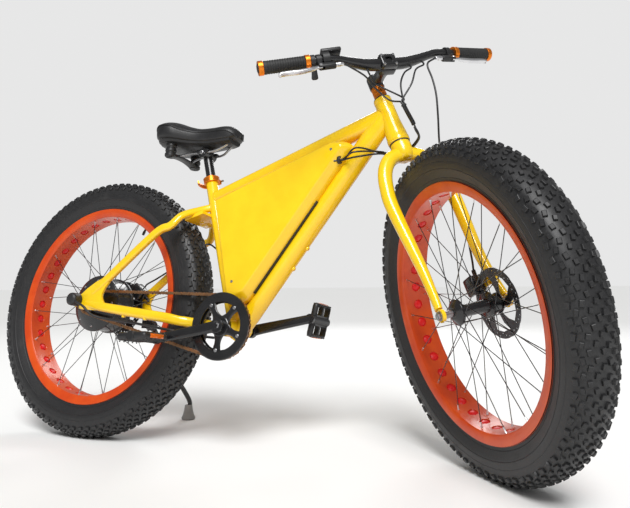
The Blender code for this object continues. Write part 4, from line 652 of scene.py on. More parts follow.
@dataclass(frozen=True)
class Finishes:
    """Every finish on the bicycle."""

    # Frame and weld paint both carry the painted shade, orange on the lower faces.
    frame: Finish = FramePaintWithPaintedShade("yellow_paint", "frame_paint", (0.95, 0.6, 0.004), (0.97, 0.64, 0.006), 0.24,
                               coat=0.6, depth=0.00004)
    weld: Finish = FramePaintWithPaintedShade("yellow_paint_on_weld", "frame_paint", (0.93, 0.57, 0.004), (0.9, 0.52, 0.004),
                              0.3, coat=0.5, depth=0.0004)
    rim: Finish = Finish("orange_rim_paint", "rim_paint", (0.58, 0.05, 0.001), (0.66, 0.074, 0.002),
                         0.34, coat=0.1)
    strip: Finish = Finish("red_rim_strip", "strip_red", (0.78, 0.006, 0.008), (0.68, 0.005, 0.006), 0.42)
    tyre: Finish = TyreRubber("tyre_rubber_dusty", "tyre_rubber", (0.01, 0.01, 0.011), (0.018, 0.018, 0.019),
                              0.46, grain=0.0011, depth=0.00012)
    grip: Finish = Finish("grip_rubber_matt", "grip_rubber", (0.01, 0.01, 0.01), (0.018, 0.018, 0.018), 0.62,
                          depth=0.00008)
    black: Finish = Finish("black_gloss_paint", "black_paint", (0.008, 0.008, 0.009), (0.013, 0.013, 0.014),
                           0.26, coat=0.3)
    plastic: Finish = Finish("black_plastic_satin", "black_plastic", (0.012, 0.012, 0.013),
                             (0.02, 0.02, 0.021), 0.44, depth=0.00003)
    vinyl: Finish = Vinyl("saddle_cover", "black_vinyl", (0.01, 0.01, 0.011), (0.017, 0.017, 0.018), 0.4,
                          grain=0.0016, depth=0.00022)
    orange: Finish = Brushed("orange_anodised_alloy", "orange_anodised", (0.86, 0.25, 0.02),
                             (0.8, 0.2, 0.015), 0.26, metal=0.85)
    silver: Finish = Brushed("silver_alloy", "silver", (0.74, 0.74, 0.75), (0.66, 0.66, 0.68),
                             0.24, metal=1.0)
    steel: Finish = Brushed("plain_steel", "steel", (0.46, 0.46, 0.47), (0.36, 0.36, 0.37), 0.28, metal=1.0)
    dark: Finish = Brushed("dark_disc_steel", "steel", (0.13, 0.13, 0.135), (0.09, 0.09, 0.095),
                           0.3, metal=1.0)
    chain: Finish = Brushed("copper_coloured_chain", "chain_steel", (0.46, 0.24, 0.12), (0.3, 0.17, 0.09),
                            0.32, metal=0.9)
    foot: Finish = Finish("grey_foot_rubber", "grey_rubber", (0.3, 0.3, 0.29), (0.24, 0.24, 0.23), 0.6)
    reflector: Finish = Finish("orange_reflector", "orange_anodised", (0.8, 0.17, 0.008),
                               (0.74, 0.14, 0.006), 0.12, coat=1.0)


FINISH = Finishes()


def hand_over(piece: Piece, finish: Finish, body: str, nodes: Sequence[str] = (),
              angle: float = 35) -> Piece:
    """Puts a finished piece in its place on a body.

    Args:
        piece: The piece, modelled on the upright bicycle.
        finish: Its surface.
        body: The moving body that carries it.
        nodes: The solids that it stands for.
        angle: Edges over this angle in degrees stay sharp.

    Returns:
        The piece.
    """
    piece.data.transform(STANCE.place(body))
    Bench.shade(piece, angle)
    piece.data.materials.clear()
    piece.data.materials.append(finish.material())
    for face in piece.data.polygons:
        face.material_index = 0
    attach(piece, body)
    if nodes:
        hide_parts(*nodes)
    LOG.info("%s: %d faces", piece.name, len(piece.data.polygons))
    return piece


# Wheels


@dataclass
class Tyre:
    """A fat tyre: a smooth casing with moulded lines and rows of small square blocks."""

    centre: Vector
    knob: float = 0.0045
    stations: int = 84

    def casing(self, name: str) -> Piece:
        """The casing, spun about the axle."""
        half = [(0.0372, 0.2722), (0.0374, 0.2862), (0.042, 0.298), (0.0489, 0.315), (0.049, 0.331),
                (0.0462, 0.346), (0.039, 0.358), (0.0285, 0.365), (0.015, 0.369), (0.0, 0.3703)]
        smooth = [tuple(row) for row in flow(half, 3)]
        outer = smooth + [(-y, r) for y, r in reversed(smooth[:-1])]
        inner = [(-0.035, 0.2722), (-0.0385, 0.318), (0.0385, 0.318), (0.035, 0.2722)]
        return Bench.turned(name, outer + inner, self.centre, Y, 108)

    def lines(self, name: str) -> Piece:
        """Thin raised lines round both sidewalls, as the mould leaves them."""
        made = []
        for side in (-1, 1):
            for y, r in ((0.04, 0.2935), (0.0487, 0.3137), (0.049, 0.329)):
                rib = [(side * (y - 0.0006), r - 0.001), (side * (y + 0.0007), r),
                       (side * (y - 0.0006), r + 0.001)]
                made.append(Bench.turned(f"{name}_{side}_{r}", rib, self.centre, Y, 96))
        return Bench.join(name, *made)

    def block(self, name: str) -> Piece:
        """One tread block of unit size with drawn in sides and a cut across its top."""
        piece = Bench.box(name, NIL, (X, Y, Z), (1, 1, 1))
        for vertex in piece.data.vertices:
            if vertex.co.z > 0:
                vertex.co.x *= 0.8
                vertex.co.y *= 0.8
        bpy.ops.object.mode_set(mode="EDIT")
        bpy.ops.mesh.select_all(action="DESELECT")
        mesh = bmesh.from_edit_mesh(piece.data)
        for face in mesh.faces:
            face.select = face.normal.z > 0.9
        bmesh.update_edit_mesh(piece.data)
        bpy.ops.mesh.inset(thickness=0.07, depth=0.0)
        mesh = bmesh.from_edit_mesh(piece.data)
        for face in mesh.faces:
            if face.normal.z < -0.9:
                bmesh.ops.delete(mesh, geom=[face], context="FACES_ONLY")
                break
        bmesh.update_edit_mesh(piece.data)
        bpy.ops.object.mode_set(mode="OBJECT")
        for vertex in piece.data.vertices:
            if vertex.co.z > 0.4 and max(abs(vertex.co.x), abs(vertex.co.y)) > 0.38:
                vertex.co.z -= 0.1
        return piece

    def tread(self, name: str) -> Piece:
        """All blocks: pairs at the crown, offset rows beside them and long ones at the shoulders."""
        step = math.tau / self.stations
        rows = ((0.0062, 0.3698, 0.0, 0.0098, 0.012, 6), (0.0188, 0.368, 0.5, 0.0092, 0.0115, 18),
                (0.0298, 0.364, 0.0, 0.0098, 0.012, 33), (0.0388, 0.3577, 0.5, 0.0086, 0.0125, 50),
                (0.0452, 0.348, 0.0, 0.011, 0.013, 66))
        places = []
        for i in range(self.stations):
            for k, (y, radius, shift, wide, long, tilt) in enumerate(rows):
                for side in (-1, 1):
                    angle = (i + shift + (0.25 if side > 0 else 0.0)) * step
                    out = polar(NIL, 1, angle)
                    lean = math.radians(tilt)
                    up = out * math.cos(lean) + Y * side * math.sin(lean)
                    across = (Y * math.cos(lean) - out * side * math.sin(lean)).normalized()
                    twist = math.radians((14 if (i + k) % 2 else -10) * side)
                    flat = across.cross(up).normalized()
                    first = flat * math.cos(twist) + across * math.sin(twist)
                    second = up.cross(first).normalized()
                    grown = 1.15 if (i + k) % 3 == 0 else 1.0
                    spot = self.centre + Y * y * side + out * radius + up * (self.knob * 0.5 - 0.001)
                    places.append(axes_matrix((first, second, up), spot)
                                  @ Matrix.Diagonal((long * grown, wide, self.knob + 0.002, 1)))
        return Bench.repeat(name, self.block(name + "_block"), places)

    def build(self, name: str, body: str) -> None:
        """Makes the tyre and hangs it on its wheel."""
        hand_over(self.casing(name + "_casing"), FINISH.tyre, body, (name,), 50)
        hand_over(self.tread(name + "_blocks"), FINISH.tyre, body, (name,), 30)
        hand_over(self.lines(name + "_lines"), FINISH.tyre, body)


@dataclass
class Rim:
    """A wide single wall rim with round cut outs, and the red strip that bulges through them."""

    centre: Vector
    holes: int = 36
    hole_radius: float = 0.0118
    floor: float = 0.2615

    def around(self, radius: float, index: float) -> tuple[Vector, Vector]:
        """A place on the rim's floor and the direction away from the axle."""
        angle = math.tau * index / self.holes
        out = polar(NIL, 1, angle)
        return self.centre + out * radius, out

    def hoop(self, name: str) -> Piece:
        """The rim, spun and then drilled with its cut outs."""
        half = [(0.04, 0.2855), (0.04, 0.28), (0.0385, 0.275), (0.0372, 0.266), (0.034, 0.2618),
                (0.02, 0.2613), (0.017, 0.2616)]
        back = [(0.017, 0.2639), (0.033, 0.264), (0.0352, 0.267), (0.0366, 0.276), (0.0366, 0.285),
                (0.038, 0.2862)]
        profile = half + [(-y, r) for y, r in reversed(half)] + [(-y, r) for y, r in back]
        profile += list(reversed(back))
        piece = Bench.turned(name, profile, self.centre, Y, 144)
        places = []
        for i in range(self.holes):
            spot, out = self.around(self.floor, i)
            places.append(axes_matrix((Y.cross(out), Y, out), spot))
        drill = Bench.turned(name + "_drill", rod_profile(-0.008, 0.008, self.hole_radius), NIL, Z, 20)
        Bench.drill(piece, Bench.repeat(name + "_drills", drill, places))
        Bench.soften(piece, 0.0006, 1, 60)
        return piece

    def strip(self, name: str) -> Piece:
        """The band inside the rim, pressed a little way out through each cut out."""
        band = Bench.turned(name, [(-0.0175, 0.2641), (0.0175, 0.2641), (0.0175, 0.2652), (-0.0175, 0.2652)],
                            self.centre, Y, 108)
        dome = Bench.turned(name + "_dome",
                            [(0.003, 0), (0.0026, 0.0045), (0.0014, 0.0082), (0.0, 0.0106), (-0.0015, 0.011),
                             (-0.0015, 0)], NIL, Z, 16)
        places = []
        for i in range(self.holes):
            spot, out = self.around(0.264, i)
            places.append(axes_matrix((Y.cross(out), -Y, -out), spot))
        return Bench.join(name, band, Bench.repeat(name + "_domes", dome, places))

    def valve(self, name: str, side: float) -> Piece:
        """A short rubber valve with its cap."""
        spot, out = self.around(self.floor, 6.5)
        profile = [(0.004, 0), (0.004, 0.006), (-0.004, 0.005), (-0.006, 0.0032), (-0.016, 0.0032),
                   (-0.0162, 0.0042), (-0.0268, 0.0038), (-0.028, 0.0026), (-0.028, 0)]
        return Bench.turned(name, profile, spot + Y * side, out, 16)

    def build(self, name: str, body: str) -> None:
        """Makes rim, strip and valve."""
        hand_over(self.hoop(name + "_hoop"), FINISH.rim, body, (name,), 40)
        hand_over(self.strip(name + "_strip_band"), FINISH.strip, body, (name + "_strip",), 50)
        hand_over(self.valve(name + "_valve", 0.012), FINISH.plastic, body)


@dataclass
class Lacing:
    """The spokes of one wheel with their nipples."""

    centre: Vector
    flanges: tuple[float, float]
    flange_radius: float
    crossing: float
    spokes: int = 36
    end: float = 0.2612

    def build(self, name: str, body: str) -> None:
        """Laces half of the spokes to each flange, leaning forward and back in turn."""
        rods, tips = [], []
        for i in range(self.spokes):
            side = 1 if i % 2 else -1
            lean = self.crossing if (i // 2) % 2 else -self.crossing
            angle = (i + 0.5) * math.tau / self.spokes
            high = polar(self.centre, self.end, angle, side * 0.024)
            low = polar(self.centre, self.flange_radius, angle + lean,
                        self.flanges[i % 2] + (0.0012 if lean > 0 else -0.0012))
            along = (high - low).normalized()
            across = along.orthogonal().normalized()
            axes = (across, along.cross(across), along)
            rods.append(axes_matrix(axes, low) @ Matrix.Diagonal((1, 1, (high - low).length, 1)))
            tips.append(axes_matrix(axes, high - along * 0.012))
        rod = Bench.turned(name + "_rod", rod_profile(0, 1, 0.00105), NIL, Z, 7)
        hand_over(Bench.repeat(name + "_spokes", rod, rods), FINISH.black, body)
        tip = Bench.turned(name + "_tip",
                           [(0, 0), (0, 0.0017), (0.009, 0.002), (0.0122, 0.0032), (0.0122, 0)], NIL, Z, 8)
        hand_over(Bench.repeat(name + "_nipples", tip, tips), FINISH.silver, body)


@dataclass
class Hub:
    """A hub shell turned from one profile, with a ring of bolts on it."""

    centre: Vector
    profile: Sequence[tuple[float, float]]
    bolts: int
    bolt_ring: float
    bolt_side: float

    def bolt(self, name: str, side: float) -> Piece:
        """Button head bolts on one side."""
        head = Bench.turned(name + "_head",
                            [(-0.002, 0), (-0.002, 0.0038), (0.0008, 0.0038), (0.0018, 0.003),
                             (0.002, 0.0019), (0.0006, 0.0017), (0.0006, 0)], NIL, Z, 12)
        out = Y * math.copysign(1, side)
        places = []
        for i in range(self.bolts):
            spot = polar(self.centre, self.bolt_ring, math.tau * i / self.bolts, side)
            places.append(axes_matrix((X, out.cross(X), out), spot))
        return Bench.repeat(name, head, places)

    def build(self, name: str, body: str, both: bool = False) -> None:
        """Makes the shell and its bolts."""
        shell = Bench.turned(name + "_shell", self.profile, self.centre, Y, 56)
        Bench.soften(shell, 0.0009, 2, 25)
        hand_over(shell, FINISH.black, body, (name,), 30)
        sets = [self.bolt(name + "_bolts_left", self.bolt_side)]
        if both:
            sets.append(self.bolt(name + "_bolts_right", -self.bolt_side))
        hand_over(Bench.join(name + "_bolts", *sets), FINISH.steel, body)


@dataclass
class Rotor:
    """A brake disc with swept arms and rows of small holes."""

    centre: Vector
    low: float
    inner: float
    outer: float = 0.08
    thick: float = 0.002
    corners: int = 90
    notch: float = 0.012
    vents: int = 40

    def build(self, name: str, body: str) -> None:
        """Cuts the disc out of a plate and screws it on."""
        ring = []
        for i in range(self.corners):
            radius = self.outer * (1 - self.notch * (i % 9 < 2))
            ring.append(polar(self.centre, radius, math.tau * i / self.corners, self.low))
        disc = Bench.plate(name + "_disc", ring, Y * self.thick)
        middle = self.centre + Y * (self.low + self.thick / 2)
        cutters = [Bench.turned(name + "_bore", rod_profile(-0.01, 0.01, self.inner), middle, Y, 32)]
        for i in range(5):
            window = []
            for share, radius in ((0.13, 0.0245), (0.5, 0.024), (0.8, 0.025), (0.98, 0.045), (1.16, 0.064),
                                  (0.8, 0.0645), (0.5, 0.064), (0.34, 0.045)):
                window.append(polar(self.centre, radius, math.tau * (i + share) / 5, self.low - 0.004))
            cutters.append(Bench.plate(f"{name}_window_{i}", window, Y * 0.01))
        vent = Bench.turned(name + "_vent", rod_profile(-0.01, 0.01, 0.0021), NIL, Z, 8)
        places = []
        for i in range(self.vents):
            spot = polar(middle, (0.0685, 0.0722, 0.0759)[i % 3], math.tau * i / self.vents)
            places.append(axes_matrix((X, -Z, Y), spot))
        cutters.append(Bench.repeat(name + "_vents", vent, places))
        Bench.drill(disc, *cutters)
        hand_over(disc, FINISH.dark, body, (name,), 30)


@dataclass
class Wheels:
    """Both wheels."""

    front: Vector
    rear: Vector = NIL

    def build(self) -> None:
        """Makes every piece of both wheels."""
        for name, centre in (("front", self.front), ("rear", self.rear)):
            Tyre(centre).build(name + "_tyre", name + "_wheel")
            Rim(centre).build(name + "_rim", name + "_wheel")
        shell = [(-0.06, 0.0052), (-0.06, 0.014), (-0.05, 0.029), (-0.044, 0.029), (-0.043, 0.0155),
                 (-0.02, 0.014), (0.01, 0.014), (0.029, 0.0155), (0.03, 0.029), (0.036, 0.029),
                 (0.037, 0.022), (0.0575, 0.022), (0.0575, 0.012), (0.064, 0.0115), (0.064, 0.0052)]
        Hub(self.front, shell, 6, 0.0175, 0.0598).build("front_hub", "front_wheel")
        Lacing(self.front, (-0.047, 0.033), 0.0265, math.radians(62)).build("front", "front_wheel")
        Rotor(self.front, 0.0578, 0.0125).build("front_rotor", "front_wheel")
        shell = [(-0.0665, 0.007), (-0.0665, 0.0195), (-0.053, 0.02), (-0.05, 0.03), (-0.0455, 0.05),
                 (-0.042, 0.062), (-0.0345, 0.08), (-0.0335, 0.0815), (-0.028, 0.0815), (-0.027, 0.0775),
                 (-0.012, 0.0778), (0.012, 0.0778), (0.027, 0.0775), (0.028, 0.0815), (0.0335, 0.0815),
                 (0.0345, 0.08), (0.042, 0.056), (0.0445, 0.048), (0.049, 0.024), (0.05, 0.022),
                 (0.071, 0.022), (0.071, 0.014), (0.077, 0.0135), (0.077, 0.007)]
        Hub(self.rear, shell, 8, 0.066, 0.04).build("motor_hub", "rear_wheel", True)
        Lacing(self.rear, (-0.031, 0.031), 0.079, math.radians(20)).build("rear", "rear_wheel")
        Rotor(self.rear, 0.0713, 0.0145).build("rear_rotor", "rear_wheel")


# Frame and fork


def weld_bead(name: str, rings: Sequence[Sequence[Vector]], other: Piece,
              radius: float = 0.0024) -> list[Piece]:
    """A bead where a tube's side lines run into another piece.

    Args:
        name: The bead's name.
        rings: The tube's stations, from its open part to its buried end.
        other: The piece that the tube is welded to.
        radius: The bead's radius.

    Returns:
        One closed bead, or nothing where the tube doesn't run in all round.
    """
    graph = bpy.context.evaluated_depsgraph_get()
    found = []
    for k in range(len(rings[0])):
        for near, far in zip(rings, rings[1:]):
            step = far[k] - near[k]
            hit, spot, _, _ = other.ray_cast(near[k], step.normalized(), distance=step.length,
                                             depsgraph=graph)
            if hit:
                found.append(spot)
                break
    if len(found) < len(rings[0]):
        return []
    stations = []
    count = len(found)
    for i, spot in enumerate(found):
        ahead = (found[(i + 1) % count] - found[i - 1]).normalized()
        hint = spot - sum(found, Vector()) / count
        across = (hint - ahead * hint.dot(ahead)).normalized()
        stations.append(oval(spot, across, ahead.cross(across), radius, radius, 8))
    return [Bench.loft(name, stations, closed=True)]


@dataclass
class Frame:
    """The welded frame: three main tubes, head tube, shell, stays, dropouts and bridge plate."""

    seat_radius: float = 0.0175
    spread: float = 0.1
    dropout: float = 0.008

    def down_rings(self) -> list[list[Vector]]:
        """Stations of the lozenge shaped down tube, from its middle to the head tube."""
        low, high, along, inward = STANCE.down_tube()
        rows = [(*(low + inward * 0.026 - along * 0.04), 0.0241, 0.0224),
                (*(low + inward * 0.026 + along * 0.05), 0.028, 0.026),
                (*(low + inward * 0.0275 + along * 0.3), 0.028, 0.0275),
                (*(high + inward * 0.029 - along * 0.1), 0.028, 0.029),
                (*(high + inward * 0.031 + along * 0.048), 0.0241, 0.031)]
        return rings_along(flow(rows, 8), Y, 32, 1.65)

    def top_rings(self) -> list[list[Vector]]:
        """Stations of the top tube, from the seat tube to the head tube."""
        near, far = STANCE.seat(0.382), STANCE.front(0, 0.5325, 0)
        rows = []
        for share, wide, tall in ((0, 0.016, 0.0175), (0.5, 0.019, 0.021), (0.85, 0.0215, 0.0245),
                                  (1, 0.0225, 0.0255)):
            rows.append((*near.lerp(far, share), wide, tall))
        return rings_along(flow(rows, 8), Y, 32, 2.6)

    def stay_rings(self, side: int) -> tuple[list[list[Vector]], list[list[Vector]]]:
        """Stations of one seat stay and one chain stay."""
        wide = self.spread * side
        seat = STANCE.seat
        upper = [(*seat(0.356), 0.008, 0.011), (*seat(0.35, -0.032, side * 0.028), 0.0085, 0.011),
                 (*seat(0.334, -0.066, wide * 0.72), 0.0085, 0.011),
                 (*seat(0.308, -0.095, wide * 0.93), 0.0085, 0.0115), (0.246, wide, 0.183, 0.0085, 0.012),
                 (0.0995, wide, 0.0616, 0.008, 0.0125), (0.048, wide, 0.0225, 0.0055, 0.012)]
        base = STANCE.CRANK
        lower = []
        for x, y, z, thin, tall in ((0, 0.03, 0, 0.009, 0.012), (-0.05, 0.036, 0.0035, 0.0085, 0.013),
                                    (-0.081, 0.045, 0.0065, 0.008, 0.013), (-0.1, 0.06, 0.008, 0.008, 0.013),
                                    (-0.113, 0.07, 0.0095, 0.008, 0.013),
                                    (-0.13, 0.078, 0.011, 0.0085, 0.013),
                                    (-0.165, 0.0875, 0.017, 0.009, 0.0135)):
            lower.append((*(base + Vector((x, side * y, z))), thin, tall))
        lower += [(0.22, wide, -0.034, 0.0095, 0.0135), (0.09, wide, -0.0185, 0.0085, 0.0125),
                  (0.03, wide, -0.01, 0.0055, 0.011)]
        rows = flow(lower, 4)
        spots = [Vector(row[:3]) for row in rows]
        rings = []
        for i, row in enumerate(rows):
            ahead = (spots[min(i + 1, len(spots) - 1)] - spots[max(i - 1, 0)]).normalized()
            across = ahead.cross(Z).normalized()
            rings.append(oval(spots[i], across, across.cross(ahead), row[3], row[4], 20, 2.5))
        return rings_along(flow(upper, 6), Y, 20, 2.5), rings

    def plate(self, name: str, side: int) -> Piece:
        """One dropout with its slot open downwards."""
        outline = [(0.094, 0.068), (0.06, 0.052), (0.03, 0.0335), (0.01, 0.0175), (-0.003, 0.014),
                   (-0.011, 0.0065), (-0.0135, -0.002), (-0.013, -0.01), (-0.01, -0.0175), (-0.006, -0.021),
                   (0.02, -0.026), (0.104, -0.03), (0.098, -0.008), (0.09, 0.0015), (0.0865, 0.01),
                   (0.087, 0.019), (0.095, 0.035), (0.106, 0.05)]
        middle = self.spread * side - self.dropout / 2
        piece = Bench.plate(name, [Vector((x, middle, z)) for x, z in outline], Y * self.dropout)
        arc = [(-math.cos(math.pi * i / 10) * 0.007, math.sin(math.pi * i / 10) * 0.007) for i in range(11)]
        slot = [Vector((x, middle - 0.01, z)) for x, z in [*arc, (0.007, -0.04), (-0.007, -0.04)]]
        Bench.drill(piece, Bench.plate(name + "_slot", slot, Y * 0.03))
        Bench.soften(piece, 0.0012, 2, 40)
        return piece

    def head(self, name: str) -> Piece:
        """The tapered head tube, bored for the steerer."""
        rows = [(0.4515, 0.0278), (0.4522, 0.0286), (0.46, 0.0286), (0.4625, 0.0277), (0.4715, 0.0275),
                (0.4915, 0.0256), (0.5115, 0.024), (0.56, 0.0232), (0.575, 0.0231), (0.5765, 0.0238),
                (0.5824, 0.0238), (0.583, 0.023), (0.583, 0.0155), (0.4515, 0.0155)]
        return Bench.turned(name, rows, STANCE.steer_base, STANCE.steer_up, 48)

    def bridge(self, name: str) -> Piece:
        """The plate between the seat stays, with its bolt hole."""
        at = STANCE.seat(0.332, -0.044)
        piece = Bench.box(name, at, (STANCE.seat_ahead, Y, STANCE.seat_up), (0.062, 0.1, 0.01), 0.0015)
        bore = Bench.turned(name + "_bore", rod_profile(0.3, 0.36, 0.0046),
                            STANCE.CRANK - STANCE.seat_ahead * 0.052, STANCE.seat_up, 20)
        return Bench.drill(piece, bore)

    def bosses(self, name: str) -> Piece:
        """Cable bosses under the right chain stay and bottle bosses on the down tube's lower face."""
        low, _, along, inward = STANCE.down_tube()
        places = [(Vector((0.25, -0.099, -0.05)), -Z), (Vector((0.175, -0.0998, -0.044)), -Z)]
        places += [(low + along * 0.2 - inward * 0.0005, -inward),
                   (low + along * 0.264 - inward * 0.0005, -inward)]
        made = []
        for i, (spot, out) in enumerate(places):
            profile = [(-0.006, 0), (-0.006, 0.006), (0.0015, 0.0056), (0.003, 0.0044), (0.003, 0.0022),
                       (0.0005, 0.002), (0.0005, 0)]
            made.append(Bench.turned(f"{name}_{i}", profile, spot, out, 20))
        return Bench.join(name, *made)

    def build(self) -> None:
        """Makes the tubes, the welds where they meet and the plates."""
        down = self.down_rings()
        top = self.top_rings()
        head = self.head("head_tube")
        seat_rows = [(-0.005, 0), (-0.005, self.seat_radius), (0.446, self.seat_radius),
                     (0.448, self.seat_radius - 0.001), (0.448, 0.0137), (0.4, 0.0137), (0.4, 0)]
        seat = Bench.turned("seat_tube", seat_rows, STANCE.CRANK, STANCE.seat_up, 40)
        shell = Bench.turned("crank_shell", collar_profile(-0.05, 0.05, 0.0177, 0.024, 0.0008),
                             STANCE.CRANK, Y, 48)
        down_tube = Bench.loft("down_tube", down)
        top_tube = Bench.loft("top_tube", top)
        welds = weld_bead("weld_down_head", down, head)
        welds += weld_bead("weld_top_head", top, head)
        welds += weld_bead("weld_top_seat", list(reversed(top)), seat)
        welds += weld_bead("weld_down_shell", list(reversed(down)), shell)
        ends = [oval(STANCE.seat(h), STANCE.seat_ahead, Y, self.seat_radius, self.seat_radius, 32)
                for h in (0.12, 0.06, 0.03, 0.015, 0.0)]
        welds += weld_bead("weld_seat_shell", ends, shell)
        stays = []
        for side in Side:
            upper, lower = self.stay_rings(side.value)
            stays.append(Bench.loft(f"seat_stay_{side.word}", upper))
            stays.append(Bench.loft(f"chain_stay_{side.word}", lower))
            welds += weld_bead(f"weld_seat_stay_{side.word}", list(reversed(upper)), seat, 0.002)
            welds += weld_bead(f"weld_chain_stay_{side.word}", list(reversed(lower)), shell, 0.002)
            stays.append(self.plate(f"dropout_{side.word}", side.value))
        bridge = self.bridge("bridge_plate")
        hand_over(Bench.join("main_tubes", down_tube, top_tube, seat, shell, head), FINISH.frame,
                  "frame", ("frame",))
        hand_over(Bench.join("stays", *stays), FINISH.frame, "frame", ("frame",))
        hand_over(bridge, FINISH.frame, "frame", ("frame",))
        hand_over(Bench.join("frame_welds", *welds), FINISH.weld, "frame")
        hand_over(self.bosses("frame_bosses"), FINISH.frame, "frame")


@dataclass
class Fork:
    """The rigid fork: a crown tube bent into two blades under a steerer."""

    steerer: float = 0.0143

    def leg_rings(self, side: int) -> list[list[Vector]]:
        """Stations of one blade from the crown to its end."""
        rows = [(0.0, 0.412, 0.0, 0.017, 0.019), (0.03, 0.409, 0.0, 0.0168, 0.019),
                (0.053, 0.394, 0.0, 0.0165, 0.0185), (0.071, 0.365, 0.0, 0.0165, 0.018),
                (0.082, 0.323, 0.001, 0.0165, 0.0172), (0.087, 0.265, 0.004, 0.016, 0.0165),
                (0.0795, 0.12, 0.015, 0.0135, 0.013), (0.0815, 0.05, 0.025, 0.012, 0.0105),
                (0.0865, 0.0, 0.034, 0.011, 0.008)]
        placed = [(*STANCE.front(y * side, s, f), wide, tall) for y, s, f, wide, tall in rows]
        return rings_along(flow(placed, 6), STANCE.steer_ahead, 28, 2.15)

    def end(self, name: str, side: int) -> Piece:
        """A flat fork end with its slot open downwards."""
        at = STANCE.front_axle + Y * side * 0.0865
        piece = Bench.turned(name, collar_profile(-0.004, 0.004, 0, 0.015, 0.0008), at, Y, 40)
        down = -STANCE.steer_up
        arc = []
        for i in range(9):
            angle = math.pi * i / 8
            arc.append(at + STANCE.steer_ahead * 0.0053 * math.cos(angle)
                       - down * 0.0053 * math.sin(angle) - Y * 0.01)
        arc += [arc[-1] + down * 0.03, arc[0] + down * 0.03]
        return Bench.drill(piece, Bench.plate(name + "_slot", arc, Y * 0.02))

    def build(self) -> None:
        """Makes crown, steerer, blades, ends and the caliper's tab."""
        rows = [(0.395, 0.0112), (0.396, 0.0165), (0.4, 0.0205), (0.408, 0.024), (0.418, 0.0257),
                (0.438, 0.0266), (0.4412, 0.0258), (0.4437, 0.0255), (0.4437, 0.015), (0.45, self.steerer),
                (0.653, self.steerer), (0.653, 0.011), (0.395, 0.011)]
        crown = Bench.turned("fork_crown", rows, STANCE.steer_base, STANCE.steer_up, 48)
        welds, parts = [], [crown]
        for side in Side:
            rings = self.leg_rings(side.value)
            welds += weld_bead(f"weld_blade_{side.word}", list(reversed(rings)), crown, 0.0024)
            parts.append(Bench.loft(f"fork_blade_{side.word}", rings))
            parts.append(self.end(f"fork_end_{side.word}", side.value))
        parts.append(Bench.box("caliper_tab", STANCE.front(0.0745, 0.052, 0.0083),
                               (STANCE.steer_ahead, Y, STANCE.steer_up), (0.02, 0.007, 0.034), 0.0015))
        hand_over(Bench.join("fork_body", *parts), FINISH.frame, "steering", ("fork",))
        if welds:
            hand_over(Bench.join("fork_welds", *welds), FINISH.weld, "steering")


